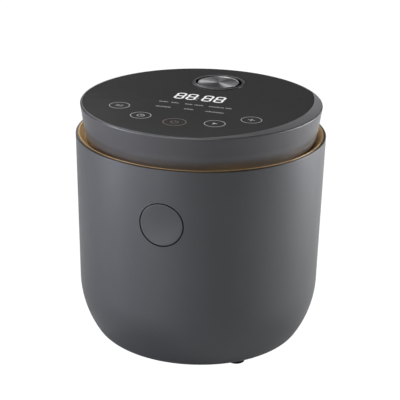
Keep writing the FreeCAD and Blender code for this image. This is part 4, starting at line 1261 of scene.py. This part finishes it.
world = bpy.data.worlds.new("studio")
SCENE.world = world
world.use_nodes = True
wt = world.node_tree
wt.nodes.clear()
wo = wt.nodes.new("ShaderNodeOutputWorld")
wb = wt.nodes.new("ShaderNodeBackground")
wc = wt.nodes.new("ShaderNodeBackground")
wm = wt.nodes.new("ShaderNodeMixShader")
wl = wt.nodes.new("ShaderNodeLightPath")
WORLD_LEVEL = 0.04
wb.inputs["Color"].default_value = (1, 1, 1, 1)
wb.inputs["Strength"].default_value = WORLD_LEVEL
wc.inputs["Color"].default_value = (1, 1, 1, 1)
wc.inputs["Strength"].default_value = 1.05
wt.links.new(wl.outputs["Is Camera Ray"], wm.inputs[0])
wt.links.new(wb.outputs[0], wm.inputs[1])
wt.links.new(wc.outputs[0], wm.inputs[2])
wt.links.new(wm.outputs[0], wo.inputs["Surface"])


def area(name, loc, aim, w, h, watts):
    d = bpy.data.lights.new(name, "AREA")
    d.shape = "RECTANGLE"
    d.size, d.size_y = w, h
    d.energy = watts
    ob = bpy.data.objects.new(name, d)
    SCENE.collection.objects.link(ob)
    ob.location = loc
    ob.rotation_euler = (Vector(aim) - Vector(loc)).to_track_quat("-Z", "Y").to_euler()
    return ob


# Soft panels stand round the object: broad ones front left, brighter ones behind right,
# dim ones in front and above, and a dark gap at the front right.
LIGHTS = [
    ("panel_s090_lo", (1.500, -0.000, 0.350), (0.0, 0.0, 0.12), 0.40, 0.70, 0.74, (1.00, 1.00, 1.00)),
    ("panel_s105_lo", (1.449, 0.388, 0.350), (0.0, 0.0, 0.12), 0.40, 0.70, 1.06, (1.00, 1.00, 1.00)),
    ("panel_s120_lo", (1.299, 0.750, 0.350), (0.0, 0.0, 0.12), 0.40, 0.70, 17.0, (1.00, 1.00, 1.00)),
    ("panel_s135_lo", (1.061, 1.061, 0.350), (0.0, 0.0, 0.12), 0.40, 0.70, 7.26, (1.00, 1.00, 1.00)),
    ("panel_s195_hi", (-0.311, 1.159, 1.150), (0.0, 0.0, 0.15), 0.34, 0.70, 0.76, (1.00, 1.00, 1.00)),
    ("panel_s210_hi", (-0.600, 1.039, 1.150), (0.0, 0.0, 0.15), 0.34, 0.70, 3.07, (1.00, 1.00, 1.00)),
    ("panel_s225_hi", (-0.849, 0.849, 1.150), (0.0, 0.0, 0.15), 0.34, 0.70, 3.17, (1.00, 1.00, 1.00)),
    ("panel_s285_lo", (-1.449, -0.388, 0.350), (0.0, 0.0, 0.12), 0.40, 0.70, 0.60, (0.90, 0.92, 1.00)),
    ("panel_s300_lo", (-1.299, -0.750, 0.350), (0.0, 0.0, 0.12), 0.40, 0.70, 13.00, (0.90, 0.92, 1.00)),
    ("panel_s330_lo", (-0.750, -1.299, 0.350), (0.0, 0.0, 0.12), 0.40, 0.70, 1.75, (1.00, 1.00, 1.00)),
    ("panel_s345_lo", (-0.388, -1.449, 0.350), (0.0, 0.0, 0.12), 0.40, 0.70, 2.15, (1.00, 1.00, 1.00)),
    ("panel_t03", (-0.700, 1.400, 1.750), (0.0, 0.0, 0.20), 0.68, 0.68, 6.34, (1.00, 1.00, 1.00)),
    ("panel_t10", (0.000, -0.700, 1.750), (0.0, 0.0, 0.20), 0.68, 0.68, 2.42, (1.00, 1.00, 1.00)),
]
for name, loc, aim, w, h, watts, tone in LIGHTS:
    panel = area(name, loc, aim, w, h, watts)
    panel.data.color = tone
    panel.visible_camera = False

# ------------------------------------------------------------------------ camera

T = Vector((0, 0, 0.123))
AZ, EL, DIST, ROLL = math.radians(17.0), math.radians(21.217), 1.5, math.radians(1.038)
cd = bpy.data.cameras.new("photo_view")
cd.lens = 135.17
cd.sensor_width = 36.0
cam = bpy.data.objects.new("photo_view", cd)
SCENE.collection.objects.link(cam)
eye = T + DIST * Vector((math.sin(AZ) * math.cos(EL), -math.cos(AZ) * math.cos(EL), math.sin(EL)))
rot = (T - eye).to_track_quat("-Z", "Y").to_matrix() @ Matrix.Rotation(ROLL, 3, "Z")
cam.matrix_world = Matrix.Translation(eye) @ rot.to_4x4()
cd.shift_x = 0.0015
cd.shift_y = 0.041
cd.clip_start, cd.clip_end = 0.05, 40.0
SCENE.camera = cam
bpy.context.scene.camera = cam
SCENE.view_settings.view_transform = "Standard"
SCENE.view_settings.look = "None"
SCENE.view_settings.exposure = 0.0
SCENE.view_settings.gamma = 1.0

# ------------------------------------------------------------------------ finish


bpy.context.view_layer.update()
